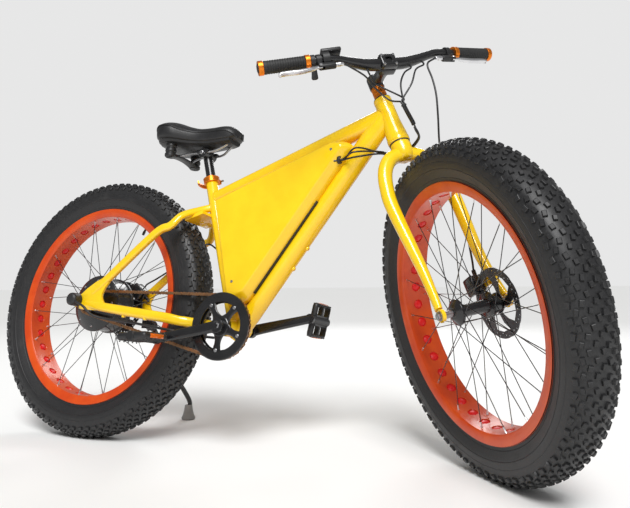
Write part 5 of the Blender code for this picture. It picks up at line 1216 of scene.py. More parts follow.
@dataclass
class BatteryCase:
    """The flat case in the frame: two soft edged halves with a dark gasket between them, and screws."""

    half: float = 0.052
    layers: tuple[tuple[float, float], ...] = (
        (0.0009, 0.0), (0.028, 0.0), (0.034, 0.12), (0.039, 0.32), (0.044, 0.6), (0.0478, 0.8), (0.05, 0.92),
        (0.0514, 1.02), (0.052, 1.14))

    def corners(self) -> list[Vector]:
        """Corners in the side view, clockwise from the upper rear one."""
        low, _, along, inward = STANCE.down_tube()
        line = low + inward * 0.041
        high = line + along * 0.556
        spots = [STANCE.seat(0.354, 0.0235), high - X * 0.045 + Z * 0.017, high, line + along * 0.066,
                 STANCE.seat(0.046, 0.012)]
        return [Vector((spot.x, spot.z)) for spot in spots]

    def inset(self, insets: Sequence[float]) -> list[Vector]:
        """The corners with each side moved inwards by its own length."""
        corners = self.corners()
        count = len(corners)
        lines = []
        for i, inset in enumerate(insets):
            along = (corners[(i + 1) % count] - corners[i]).normalized()
            lines.append((corners[i] + Vector((along.y, -along.x)) * inset, along))
        made = []
        for i in range(count):
            (p, d), (q, e) = lines[i - 1], lines[i]
            made.append(p + d * ((q - p).cross(e) / d.cross(e)))
        return made

    @staticmethod
    def rounded(corners: Sequence[Vector], radii: Sequence[float], parts: int = 6) -> list[Vector]:
        """The outline with each corner rounded by a curve."""
        made = []
        for i, corner in enumerate(corners):
            start = corner + (corners[i - 1] - corner).normalized() * radii[i]
            end = corner + (corners[(i + 1) % len(corners)] - corner).normalized() * radii[i]
            for k in range(parts + 1):
                t = k / parts
                made.append(start.lerp(corner, t).lerp(corner.lerp(end, t), t))
        return made

    def outline(self, share: float) -> list[Vector]:
        """The case's outline at a share of its bevel."""
        soft = 0.023 * (1 - 0.4 * share)
        insets = [share * inset for inset in (0.006, 0.014, 0.021, 0.024, 0.01)]
        return self.rounded(self.inset(insets), [0.006, soft, soft, 0.008, 0.004])

    def shell(self, name: str, side: int) -> Piece:
        """One half, lofted from the seam out to its bevelled face."""
        rings = [[Vector((p.x, out * side, p.y)) for p in self.outline(share)] for out, share in self.layers]
        return Bench.loft(name, rings)

    def groove(self, name: str) -> Piece:
        """A dark gasket between the halves, a little inside their edge."""
        outline = self.rounded(self.inset([0.0012] * 5), [0.006, 0.022, 0.022, 0.008, 0.004])
        return Bench.plate(name, [Vector((p.x, -0.0012, p.y)) for p in outline], Y * 0.0024)

    def screw(self, name: str, spot: Vector, out: Vector) -> Piece:
        """A small socket screw."""
        profile = [(-0.003, 0), (-0.003, 0.0036), (0.0008, 0.0036), (0.0016, 0.003), (0.0017, 0.0018),
                   (0.0002, 0.0016), (0.0002, 0)]
        return Bench.turned(name, profile, spot, out, 20)

    def build(self) -> None:
        """Makes both halves, the pad that they rest on, the gasket and the screws."""
        for side in Side:
            name = f"battery_case_{side.word}"
            hand_over(self.shell(f"case_half_{side.word}", side.value), FINISH.frame, "frame", (name,), 28)
        low, _, along, inward = STANCE.down_tube()
        pad = Bench.box("case_rest", low + along * 0.235 + inward * 0.0398, (along, Y, inward),
                        (0.29, 0.064, 0.0036), 0.0008)
        hand_over(pad, FINISH.plastic, "frame")
        hand_over(self.groove("case_gasket"), FINISH.plastic, "frame", ("battery_pack",))
        screws = []
        inner = self.inset([0.024, 0.034, 0.04, 0.06, 0.03])
        for side in Side:
            for i, corner in enumerate((inner[1], inner[4])):
                spot = Vector((corner.x, side.value * self.half, corner.y))
                screws.append(self.screw(f"case_screw_{side.word}_{i}", spot, Y * side.value))
        hand_over(Bench.join("case_screws", *screws), FINISH.steel, "frame")


# Front end


@dataclass
class Cockpit:
    """Headset, stem, bar, grips, levers and throttle."""

    level: float = 0.635
    clamp: float = 0.0159
    bar: float = 0.0111
    grip: float = 0.0165

    def __post_init__(self) -> None:
        """Works out the bar's line and the directions of the steering."""
        self.centre = STANCE.front(0, self.level, 0.083)
        self.up, self.ahead = STANCE.steer_up, STANCE.steer_ahead
        rows = [(0.0, 0.0, 0.0, self.clamp), (0.035, 0.0, 0.0, self.clamp), (0.06, 0.0015, 0.001, 0.015),
                (0.09, 0.0065, 0.0045, 0.013), (0.12, 0.0128, 0.0085, self.bar),
                (0.152, 0.02 - 0.052 * 0.0315, 0.002 + 0.052 * 0.1457, self.bar),
                (0.204, 0.02, 0.002, self.bar), (0.331, 0.024, -0.0165, self.bar)]
        self.half = [(*(self.centre + Y * y + self.up * s + self.ahead * f), r, r) for y, s, f, r in rows]

    def grip_line(self, side: int) -> tuple[Vector, Vector, Vector]:
        """Start, end and direction of one grip."""
        start, end = Vector(self.half[-2][:3]), Vector(self.half[-1][:3])
        start.y *= side
        end.y *= side
        return start, end, (end - start).normalized()

    def lever_frame(self, side: int) -> tuple[Vector, Vector, Vector, Vector]:
        """A lever's place on the bar, and the directions along the bar, ahead and up."""
        start, _, along = self.grip_line(side)
        ahead = (self.ahead * 0.38 - self.up * 0.925).normalized()
        ahead = (ahead - along * ahead.dot(along)).normalized()
        return start - along * 0.022, along, ahead, along.cross(ahead) * side

    def headset(self) -> None:
        """Cups, dust ring, spacers and the top cap."""
        base, up = STANCE.steer_base, self.up
        low = [(0.4437, 0.015), (0.4437, 0.0262), (0.4442, 0.0268), (0.4462, 0.027), (0.4468, 0.0264),
               (0.4468, 0.015)]
        cover = [(0.4468, 0.015), (0.4468, 0.0272), (0.4478, 0.028), (0.4505, 0.0284), (0.4514, 0.0283),
                 (0.4514, 0.015)]
        hand_over(Bench.turned("cup_cover", cover, base, up, 48), FINISH.frame, "frame")
        hand_over(Bench.turned("lower_cup", low, base, up, 48), FINISH.plastic, "frame",
                  ("headset_lower_cup",))
        high = [(0.5833, 0.015), (0.5833, 0.0228), (0.585, 0.0228), (0.5872, 0.0212), (0.5883, 0.02),
                (0.5883, 0.015)]
        hand_over(Bench.turned("upper_cup", high, base, up, 48), FINISH.plastic, "frame",
                  ("headset_upper_cup",))
        rings = []
        for i in range(3):
            a = 0.5886 + 0.0112 * i
            rings.append(Bench.turned(f"spacer_{i}", collar_profile(a, a + 0.0108, 0.0146, 0.0178, 0.0006),
                                      base, up, 40))
        hand_over(Bench.join("spacers", *rings), FINISH.orange, "steering", ("headset_spacers",))
        cap = [(0.6555, 0), (0.6555, 0.0185), (0.6575, 0.019), (0.659, 0.0175), (0.6596, 0.009),
               (0.6596, 0.0042), (0.6572, 0.0038), (0.6572, 0)]
        hand_over(Bench.turned("top_cap", cap, base, up, 40), FINISH.black, "steering")

    def stem(self) -> None:
        """The stem round the steerer, its bar clamp and the faceplate with four bolts."""
        axes = (self.ahead, Y, self.up)
        drum = Bench.turned("stem_drum",
                            [(0.6223, 0.0146), (0.6223, 0.019), (0.6235, 0.02), (0.6545, 0.02),
                             (0.6556, 0.019), (0.6556, 0.0146)], STANCE.steer_base, self.up, 48)
        rows = [(*STANCE.front(0, 0.6395, 0.01), 0.015, 0.015),
                (*STANCE.front(0, 0.638, 0.04), 0.014, 0.0135),
                (*(self.centre - self.ahead * 0.012), 0.0185, 0.0165)]
        arm = Bench.loft("stem_arm", rings_along(flow(rows, 6), Y, 28, 2.5))
        block = Bench.box("stem_jaw", self.centre - self.ahead * 0.011, axes,
                          (0.0214, 0.046, 0.04), 0.0045, 4)
        plate = Bench.box("stem_plate", self.centre + self.ahead * 0.01, axes,
                          (0.0194, 0.046, 0.04), 0.006, 4)
        for part in (block, plate):
            bore = Bench.turned("bar_bore", rod_profile(-0.05, 0.05, 0.0161), self.centre, Y, 48)
            window = Bench.box("plate_window", self.centre + self.ahead * 0.014, axes,
                               (0.02, 0.018, 0.017), 0.004)
            Bench.drill(part, bore, window)
        body = Bench.join("stem_body", drum, arm, block)
        hand_over(body, FINISH.black, "steering", ("stem",))
        hand_over(plate, FINISH.black, "steering", ("stem_faceplate",))
        head = Bench.turned("bolt_head",
                            [(-0.006, 0), (-0.006, 0.0034), (0.0012, 0.0034), (0.002, 0.0028),
                             (0.002, 0.0017), (0.0002, 0.0016), (0.0002, 0)], NIL, Z, 14)
        places = []
        for side in (-1, 1):
            for rise in (-1, 1):
                spot = self.centre + self.ahead * 0.0196 + Y * side * 0.0165 + self.up * rise * 0.0145
                places.append(axes_matrix((Y, self.ahead.cross(Y), self.ahead), spot))
        for rise in (0.628, 0.65):
            spot = STANCE.front(0.0135, rise, -0.0165)
            places.append(axes_matrix((self.up, Y.cross(self.up), Y), spot))
        hand_over(Bench.repeat("stem_bolts", head, places), FINISH.steel, "steering")

    def handlebar(self) -> None:
        """The bar, thick in the clamp and bent up and back."""
        left = flow(self.half, 8)
        right = [(row[0], -row[1], *row[2:]) for row in reversed(left)]
        rings = rings_along(right + left[1:], self.up, 24)
        hand_over(Bench.loft("bar", rings), FINISH.black, "steering", ("handlebar",))

    def grips(self) -> None:
        """Ribbed grips, each between two lock rings, and the plugs in the bar's ends."""
        for side in Side:
            start, end, along = self.grip_line(side.value)
            length = (end - start).length
            rows = [(0.0125, self.bar + 0.0002), (0.0125, 0.016), (0.014, self.grip)]
            place = 0.018
            while place < length - 0.022:
                rows += [(place, self.grip), (place + 0.0006, self.grip - 0.0009),
                         (place + 0.0022, self.grip - 0.0009), (place + 0.0028, self.grip)]
                place += 0.0062
            rows += [(length - 0.014, self.grip), (length - 0.0125, 0.016),
                     (length - 0.0125, self.bar + 0.0002)]
            sleeve = Bench.turned(f"grip_sleeve_{side.word}", rows, start, along, 32)
            hand_over(sleeve, FINISH.grip, "steering", (f"grip_{side.word}",), 50)
            for word, at in (("inner", 0.0), ("outer", length - 0.0122)):
                rows = collar_profile(at, at + 0.0122, self.bar + 0.0002, 0.018, 0.0008)
                ring = Bench.turned(f"lock_ring_{word}_{side.word}", rows, start, along, 40)
                hand_over(ring, FINISH.orange, "steering", (f"grip_ring_{word}_{side.word}",))
            plug = Bench.turned(f"bar_plug_{side.word}",
                                [(length - 0.004, 0), (length - 0.004, 0.0108), (length + 0.001, 0.0108),
                                 (length + 0.0022, 0.009), (length + 0.0024, 0)], start, along, 32)
            hand_over(plug, FINISH.plastic, "steering")

    def lever(self, side: Side) -> None:
        """One perch with its clamp, barrel adjuster and blade."""
        spot, along, ahead, up = self.lever_frame(side.value)
        axes = (along, ahead, up)
        word = side.word
        clamp = Bench.turned(f"perch_clamp_{word}", collar_profile(-0.0065, 0.0065, 0.0112, 0.0155, 0.0008),
                             spot, along, 40)
        body = spot + ahead * 0.03 - along * 0.014
        arm = Bench.box(f"perch_arm_{word}", body, axes, (0.044, 0.016, 0.015), 0.004, 3)
        slot = Bench.box(f"perch_gap_{word}", spot + ahead * 0.031 + along * 0.008, axes,
                         (0.03, 0.03, 0.0076))
        Bench.drill(arm, slot)
        neck = Bench.box(f"perch_neck_{word}", spot + ahead * 0.019, axes, (0.012, 0.014, 0.012), 0.002)
        hand_over(Bench.join(f"perch_{word}", clamp, arm, neck), FINISH.plastic, "steering",
                  (f"brake_perch_{word}",))
        tail = body - along * 0.02
        rows = [(0, 0), (0, 0.0056), (0.004, 0.0056), (0.0045, 0.0046), (0.006, 0.0046), (0.0065, 0.006),
                (0.0135, 0.006), (0.0142, 0.005), (0.021, 0.0042), (0.022, 0.0034), (0.022, 0)]
        barrel = Bench.turned(f"barrel_{word}", rows, tail, -along, 24)
        pin = spot + ahead * 0.031 + along * 0.002
        screw = Bench.turned(f"pivot_{word}", collar_profile(-0.0084, 0.0084, 0, 0.0042, 0.0008),
                             pin, up, 24)
        hand_over(Bench.join(f"perch_metal_{word}", barrel, screw), FINISH.silver, "steering")
        rows = []
        for a, h, thin, tall in ((-0.003, 0, 0.0034, 0.0055), (0.012, 0.001, 0.0034, 0.006),
                                 (0.03, 0.006, 0.0055, 0.0066), (0.058, 0.01, 0.0062, 0.006),
                                 (0.084, 0.009, 0.0064, 0.0056), (0.1, 0.0105, 0.0064, 0.0056),
                                 (0.106, 0.015, 0.005, 0.0046)):
            rows.append((*(pin + along * a + ahead * h), thin, tall))
        blade = Bench.loft(f"lever_blade_{word}", rings_along(flow(rows, 6), up, 20, 2.6))
        Bench.soften(blade, 0.0008, 2, 60)
        hand_over(blade, FINISH.silver, f"{word}_lever", (f"brake_lever_{word}",))

    def throttle(self) -> None:
        """The thumb throttle's housing with its small display pod, and the paddle."""
        start, _, along = self.grip_line(-1)
        up = (self.up - along * self.up.dot(along)).normalized()
        ahead = (self.ahead - along * self.ahead.dot(along)).normalized()
        spot = start - along * 0.04
        ring = Bench.turned("throttle_ring", collar_profile(-0.0095, 0.009, 0.0112, 0.02, 0.001),
                            spot, along, 40)
        pod = Bench.box("throttle_pod", spot + up * 0.0185 + ahead * 0.004 - along * 0.017,
                        (along, ahead, up), (0.052, 0.026, 0.01), 0.003, 3)
        hand_over(Bench.join("throttle_body", ring, pod), FINISH.plastic, "steering", ("throttle_housing",))
        window = Bench.box("pod_window", spot + up * 0.0236 + ahead * 0.004 - along * 0.017,
                           (along, ahead, up), (0.038, 0.017, 0.001), 0.0004)
        hand_over(window, FINISH.black, "steering")
        spot = start - along * 0.0065
        hub = Bench.turned("paddle_hub", collar_profile(-0.006, 0.006, 0.0118, 0.016, 0.0008),
                           spot, along, 40)
        tail = spot - up * 0.013
        rows = [(*tail, 0.0058, 0.005), (*(tail - up * 0.013 - ahead * 0.01), 0.0072, 0.0042),
                (*(tail - up * 0.022 - ahead * 0.021), 0.0085, 0.0036),
                (*(tail - up * 0.023 - ahead * 0.023), 0.006, 0.0024)]
        thumb = Bench.loft("paddle_thumb", rings_along(flow(rows, 5), along, 20, 2.6))
        hand_over(Bench.join("throttle_lever", hub, thumb), FINISH.plastic, "throttle", ("throttle_paddle",))

    def build(self) -> None:
        """Makes every piece of the cockpit."""
        self.headset()
        self.stem()
        self.handlebar()
        self.grips()
        for side in Side:
            self.lever(side)
        self.throttle()


# Drive


@dataclass
class Drive:
    """Chainring, guard, cranks, pedals, sprocket and chain."""

    ring_teeth: int = 40
    sprocket_teeth: int = 16
    pitch: float = 0.0127
    side: float = 0.06
    pedal_out: float = 0.163

    def radius(self, teeth: int) -> float:
        """Pitch radius of a gear."""
        return self.pitch / (2 * math.sin(math.pi / teeth))

    def gear(self, name: str, centre: Vector, teeth: int, bore: float, thick: float) -> Piece:
        """A toothed plate with a bore."""
        tip, root = self.radius(teeth) - 0.0045, self.radius(teeth) - 0.007
        outline = []
        for i in range(teeth):
            for share, radius in ((-0.3, root), (-0.12, tip), (0.12, tip), (0.3, root)):
                outline.append(polar(centre, radius, math.tau * (i + share) / teeth, -self.side - thick / 2))
        piece = Bench.plate(name, outline, Y * thick)
        cutter = Bench.turned(name + "_bore", rod_profile(-0.02, 0.02, bore), centre - Y * self.side, Y, 48)
        return Bench.drill(piece, cutter)

    def guard_ring(self) -> None:
        """The glossy guard outside the ring, on the five arms of the crank."""
        rows = [(-0.0655, 0.0834), (-0.0664, 0.0856), (-0.0676, 0.0864), (-0.0706, 0.0864),
                (-0.0716, 0.0858), (-0.072, 0.0844), (-0.0716, 0.079), (-0.0716, 0.07), (-0.072, 0.0645),
                (-0.0718, 0.0628), (-0.0708, 0.062), (-0.0682, 0.062), (-0.0675, 0.0628)]
        ring = Bench.turned("guard_ring", rows, STANCE.CRANK, Y, 96)
        hand_over(ring, FINISH.black, "crankset", ("chain_guard",))

    def crank(self, side: Side) -> None:
        """One arm with its boss, eye and pedal shaft; the right one carries the spider."""
        sign = side.value
        base, reach = STANCE.CRANK, STANCE.reach * sign
        rows = [(*(base + Y * sign * 0.079), 0.007, 0.015),
                (*(base + reach * 0.25 + Y * sign * 0.083), 0.007, 0.014),
                (*(base + reach * 0.75 + Y * sign * 0.1), 0.0062, 0.0125),
                (*(base + reach + Y * sign * 0.109), 0.0062, 0.012)]
        arm = Bench.loft(f"crank_bar_{side.word}", rings_along(flow(rows, 8), Y, 24, 3.2))
        boss = Bench.turned(f"crank_boss_{side.word}",
                            [(0.071, 0), (0.071, 0.0175), (0.072, 0.0185), (0.085, 0.0185), (0.0862, 0.0172),
                             (0.0865, 0.012), (0.0858, 0.009), (0.0852, 0.0082), (0.084, 0.008), (0.084, 0)],
                            base, Y * sign, 40)
        eye = Bench.turned(f"crank_eye_{side.word}", collar_profile(0.103, 0.1155, 0, 0.0135, 0.001),
                           base + reach, Y * sign, 36)
        hand_over(Bench.join(f"crank_{side.word}", arm, boss, eye), FINISH.black, "crankset",
                  (f"crank_arm_{side.word}",), 30)
        bolt = Bench.turned(f"crank_bolt_{side.word}",
                            [(0.0835, 0), (0.0835, 0.007), (0.0846, 0.007), (0.085, 0.0062), (0.085, 0.0034),
                             (0.0838, 0.0032), (0.0838, 0)], base, Y * sign, 24)
        shaft = Bench.turned(f"pedal_shaft_{side.word}",
                             [(0.108, 0), (0.108, 0.0043), (0.1155, 0.0043), (0.1157, 0.0075),
                              (0.118, 0.0075), (0.1184, 0.0048), (self.pedal_out + 0.0385, 0.0043),
                              (self.pedal_out + 0.0385, 0)], base + reach, Y * sign, 24)
        hand_over(Bench.join(f"crank_metal_{side.word}", bolt, shaft), FINISH.steel, "crankset")

    def spider(self) -> None:
        """Five arms inside the guard, the spindle and the ring's bolts."""
        parts = []
        at = -self.side - 0.0108
        parts.append(Bench.turned("spider_boss",
                                  [(at - 0.001, 0), (at - 0.001, 0.0245), (at, 0.026), (at + 0.0095, 0.026),
                                   (at + 0.0105, 0.025), (at + 0.0105, 0)], STANCE.CRANK, Y, 40))
        bolts = []
        head = Bench.turned("ring_bolt",
                            [(0, 0), (0, 0.0046), (0.0012, 0.0046), (0.0018, 0.0038), (0.0018, 0.0022),
                             (0.0008, 0.002), (0.0008, 0)], NIL, Z, 16)
        for i in range(5):
            angle = math.tau * i / 5 + math.pi + STANCE.PITCH
            rows = []
            for radius, wide in ((0.02, 0.01575), (0.032, 0.01029), (0.043, 0.00861), (0.054, 0.0105),
                                 (0.064, 0.013125)):
                rows.append((*polar(STANCE.CRANK, radius, angle, at + 0.0035), 0.0036, wide))
            parts.append(Bench.loft(f"spider_arm_{i}", rings_along(flow(rows, 4), Y, 20, 3.0)))
            bolts.append(axes_matrix((X, Z, -Y), polar(STANCE.CRANK, 0.061, angle, at - 0.0002)))
        hand_over(Bench.join("spider", *parts), FINISH.black, "crankset", ("crank_arm_right",), 30)
        hand_over(Bench.repeat("spider_bolts", head, bolts), FINISH.steel, "crankset")
        spindle = Bench.turned("spindle", rod_profile(-0.078, 0.0785, 0.0085), STANCE.CRANK, Y, 24)
        hand_over(spindle, FINISH.steel, "crankset")
        cups = []
        for sign in (-1, 1):
            cups.append(Bench.turned(f"bearing_cup_{sign}",
                                     [(0.045, 0.0094), (0.045, 0.0172), (0.0502, 0.0172), (0.0502, 0.0212),
                                      (0.0524, 0.0212), (0.053, 0.02), (0.053, 0.0094)], STANCE.CRANK,
                                     Y * sign, 40))
        hand_over(Bench.join("bearing_cups", *cups), FINISH.black, "frame", ("bottom_bracket",))

    def pedal(self, side: Side, tilt: float) -> None:
        """A cage pedal with a rounded frame, four openings, studs and two reflectors."""
        sign = side.value
        centre = STANCE.CRANK + STANCE.reach * sign + Y * sign * self.pedal_out
        long = polar(NIL, 1, tilt)
        thick = Vector((-math.sin(tilt), 0, math.cos(tilt)))
        axes = (long, Y, thick)
        cage = Bench.box(f"cage_{side.word}", centre, axes, (0.095, 0.09, 0.02), 0.01, 4)
        cutters = []
        for end in (-1, 1):
            for share in (-1, 1):
                spot = centre + long * 0.027 * end + Y * 0.0212 * share
                cutters.append(Bench.box(f"opening_{end}_{share}", spot, axes, (0.025, 0.034, 0.05), 0.004))
        cutters.append(Bench.box("waist_low", centre - thick * 0.012, axes, (0.078, 0.073, 0.01), 0.003))
        cutters.append(Bench.box("waist_high", centre + thick * 0.012, axes, (0.078, 0.073, 0.01), 0.003))
        Bench.drill(cage, *cutters)
        tube = Bench.turned(f"pedal_tube_{side.word}",
                            [(-0.044, 0.005), (-0.044, 0.0115), (-0.043, 0.0125), (0.045, 0.0125),
                             (0.047, 0.011), (0.047, 0)], centre, Y * sign, 32)
        stud = Bench.turned("stud",
                            [(0, 0), (0, 0.0022), (0.0018, 0.0019), (0.003, 0.001),
                             (0.003, 0)], NIL, Z, 10)
        places = []
        for end in (-1, 1):
            for up in (-1, 1):
                for share in (-0.8, -0.4, 0.0, 0.4, 0.8):
                    spot = centre + long * 0.044 * end + Y * 0.038 * share + thick * 0.0096 * up
                    places.append(axes_matrix((long, (thick * up).cross(long), thick * up), spot))
        studs = Bench.repeat(f"studs_{side.word}", stud, places)
        hand_over(Bench.join(f"pedal_cage_{side.word}", cage, tube, studs), FINISH.plastic,
                  f"{side.word}_pedal", (f"pedal_{side.word}",), 30)
        glass = [Bench.box(f"reflector_{end}", centre + long * 0.0468 * end, axes, (0.003, 0.048, 0.011),
                           0.001) for end in (-1, 1)]
        hand_over(Bench.join(f"pedal_reflectors_{side.word}", *glass), FINISH.reflector,
                  f"{side.word}_pedal")

    def loop_point(self, gone: float) -> tuple[Vector, Vector]:
        """A place on the chain's loop and the direction away from the loop."""
        big, small = self.radius(self.ring_teeth), self.radius(self.sprocket_teeth)
        gap = STANCE.CRANK
        tilt = math.atan2(gap.z, gap.x)
        lean = math.asin((big - small) / gap.length)
        straight = gap.length * math.cos(lean)
        up, down = math.pi / 2 + tilt + lean, -math.pi / 2 + tilt - lean
        lengths = (straight, big * (math.pi + 2 * lean), straight, small * (math.pi - 2 * lean))
        gone %= sum(lengths)
        if gone < lengths[0]:
            out = polar(NIL, 1, up)
            return (out * small).lerp(gap + out * big, gone / straight), out
        gone -= lengths[0]
        if gone < lengths[1]:
            out = polar(NIL, 1, up - gone / big)
            return gap + out * big, out
        gone -= lengths[1]
        if gone < lengths[2]:
            out = polar(NIL, 1, down)
            return (gap + out * big).lerp(out * small, gone / straight), out
        angle = down - (gone - lengths[2]) / small
        out = polar(NIL, 1, angle)
        return out * small, out

    def link(self, name: str, wide: float) -> Piece:
        """One side plate with its waist."""
        outline = []
        for i in range(16):
            turn = math.tau * i / 16
            reach = wide if abs(math.cos(turn)) > 0.35 else wide * 0.62
            outline.append(Vector((math.cos(turn) * reach + math.copysign(self.pitch / 2, math.cos(turn)), 0,
                                   math.sin(turn) * reach)))
        return Bench.plate(name, outline, Y * 0.001)

    def chain(self) -> None:
        """Links of two plates each, with pins, all round the loop."""
        big, small = self.radius(self.ring_teeth), self.radius(self.sprocket_teeth)
        lean = math.asin((big - small) / STANCE.CRANK.length)
        curved = big * (math.pi + 2 * lean) + small * (math.pi - 2 * lean)
        length = 2 * STANCE.CRANK.length * math.cos(lean) + curved
        count = 2 * round(length / self.pitch / 2)
        step = length / count
        wide_plate, slim_plate = self.link("wide_plate", 0.0046), self.link("slim_plate", 0.0036)
        pin = Bench.turned("link_pin", rod_profile(-0.005, 0.005, 0.0018), NIL, Y, 8)
        roller = Bench.turned("link_roller", rod_profile(-0.0026, 0.0026, 0.0038), NIL, Y, 10)
        plates: tuple[list[Matrix], list[Matrix]] = ([], [])
        pins = []
        for i in range(count):
            here, there = self.loop_point(i * step)[0], self.loop_point((i + 1) * step)[0]
            along = (there - here).normalized()
            middle = here.lerp(there, 0.5) - Y * self.side
            off = 0.004 if i % 2 else 0.0028
            for sign in (-1, 1):
                spot = middle + Y * (off * sign - 0.0005)
                plates[i % 2].append(axes_matrix((along, Y, along.cross(Y)), spot))
            pins.append(Matrix.Translation(here - Y * self.side))
        parts = [Bench.repeat("slim_plates", slim_plate, plates[0]),
                 Bench.repeat("wide_plates", wide_plate, plates[1]), Bench.repeat("chain_pins", pin, pins),
                 Bench.repeat("chain_rollers", roller, pins)]
        hand_over(Bench.join("chain_links", *parts), FINISH.chain, "frame", ("chain",), 30)

    def build(self) -> None:
        """Makes every piece of the drive."""
        hand_over(self.gear("ring_plate", STANCE.CRANK, self.ring_teeth, 0.0595, 0.0024), FINISH.black,
                  "crankset", ("chainring",), 25)
        hand_over(self.gear("sprocket_plate", NIL, self.sprocket_teeth, 0.0205, 0.0024), FINISH.steel,
                  "freewheel", ("sprocket",), 25)
        self.guard_ring()
        self.spider()
        self.chain()
        for side in Side:
            self.crank(side)
        self.pedal(Side.RIGHT, math.radians(4))
        self.pedal(Side.LEFT, math.radians(80))


# Brakes, axles, seat, stand and cables


@dataclass
class Brakes:
    """Both calipers."""

    rear_spot: Vector = Vector((0.06, 0.0723, 0.048))
    rear_ahead: Vector = Vector((0.62, 0, 0.785)).normalized()

    def caliper(self, name: str, centre: Vector, ahead: Vector, up: Vector, out: float,
                body: str) -> None:
        """A body of two halves with bolts, a cable arm and an adjuster."""
        axes = (ahead, Y, up)
        halves = []
        for sign in (-1, 1):
            halves.append(Bench.box(f"{name}_half_{sign}", centre + Y * sign * out * 0.4675, axes,
                                    (0.038, out * 0.85 - 0.0035, 0.044), 0.005, 3))
        bridge = Bench.box(f"{name}_bridge", centre + ahead * 0.014, axes, (0.01, out * 1.5, 0.034), 0.003)
        knob = Bench.turned(f"{name}_knob",
                            [(out * 0.6, 0), (out * 0.6, 0.012), (out * 0.95, 0.013), (out * 1.02, 0.0122),
                             (out * 1.04, 0.01), (out * 1.04, 0.004), (out * 0.98, 0.0036), (out * 0.98, 0)],
                            centre, Y, 32)
        arm = Bench.wire(f"{name}_arm",
                         [centre + up * 0.01 + Y * out * 0.5, centre + up * 0.026 + Y * out * 0.58,
                          centre + up * 0.038 + Y * out * 0.62], 0.0052, 4)
        piece = Bench.join(name + "_body", *halves, bridge, knob, arm)
        hand_over(piece, FINISH.black, body, (name,), 30)
        bolts = []
        head = Bench.turned(f"{name}_bolt",
                            [(-0.002, 0), (-0.002, 0.004), (0.0016, 0.004), (0.0026, 0.0032),
                             (0.0026, 0.002), (0.0008, 0.0018), (0.0008, 0)], NIL, Z, 14)
        for rise in (-0.015, 0.015):
            bolts.append(axes_matrix((ahead, Y.cross(ahead), Y),
                                     centre + up * rise + ahead * 0.013 + Y * out * 0.86))
        hand_over(Bench.repeat(name + "_bolts", head, bolts), FINISH.steel, body)

    def build(self) -> None:
        """Makes both calipers."""
        centre = STANCE.front(0.0588, 0.05, -0.022)
        self.caliper("front_brake_caliper", centre, STANCE.steer_ahead, STANCE.steer_up, 0.021, "steering")
        self.caliper("rear_brake_caliper", self.rear_spot, self.rear_ahead, Y.cross(self.rear_ahead),
                     0.0205, "frame")


@dataclass
class Axles:
    """Both fixed axles with nuts and washers, and the rubber cap at the motor's cable."""

    def nut(self, name: str, centre: Vector, out: Vector, low: float, high: float,
            radius: float) -> Piece:
        """A domed hexagon nut on a washer."""
        flats = Bench.turned(name + "_flats",
                             [(low + 0.001, 0), (low + 0.001, radius * 0.96), (low + 0.002, radius),
                              (high - 0.002, radius), (high - 0.0008, radius * 0.93), (high - 0.0008, 0)],
                             centre, out, 6)
        washer = Bench.turned(name + "_washer", rod_profile(low, low + 0.0012, radius * 1.12),
                              centre, out, 32)
        return Bench.join(name, flats, washer)

    def build(self) -> None:
        """Makes the axles."""
        parts = []
        for sign in (-1, 1):
            parts.append(self.nut(f"rear_nut_{sign}", NIL, Y * sign, 0.1042, 0.1134, 0.0125))
        rows = [(-0.1183, 0), (-0.1183, 0.0055), (-0.1173, 0.0065), (-0.0957, 0.0065), (-0.0957, 0.0101),
                (-0.0672, 0.0101), (-0.0672, 0.0065), (0.0776, 0.0065), (0.0776, 0.0101), (0.0957, 0.0101),
                (0.0957, 0.0065), (0.1173, 0.0065), (0.1183, 0.0055), (0.1183, 0)]
        parts.append(Bench.turned("rear_axle_rod", rows, NIL, Y, 28))
        hand_over(Bench.join("rear_axle", *parts), FINISH.steel, "frame", ("motor_axle",), 30)
        parts = []
        for sign in (-1, 1):
            parts.append(self.nut(f"front_nut_{sign}", STANCE.front_axle, Y * sign, 0.0907, 0.098, 0.0095))
        rows = [(-0.1, 0), (-0.1, 0.004), (-0.099, 0.0048), (-0.0822, 0.0048), (-0.0822, 0.0084),
                (-0.0606, 0.0084), (-0.0606, 0.0048), (0.0646, 0.0048), (0.0646, 0.0084), (0.0822, 0.0084),
                (0.0822, 0.0048), (0.099, 0.0048), (0.1, 0.004), (0.1, 0)]
        parts.append(Bench.turned("front_axle_rod", rows, STANCE.front_axle, Y, 28))
        hand_over(Bench.join("front_axle_set", *parts), FINISH.steel, "steering", ("front_axle",), 30)
        rows = [(-0.1273, 0), (-0.1273, 0.0132), (-0.1053, 0.0132), (-0.1053, 0.0178), (-0.106, 0.0185),
                (-0.108, 0.0185), (-0.125, 0.018), (-0.1293, 0.0172), (-0.1325, 0.014), (-0.1343, 0.0095),
                (-0.1343, 0)]
        hand_over(Bench.turned("axle_boot", rows, NIL, Y, 40), FINISH.plastic, "frame",
                  ("rear_axle_cap_right",))


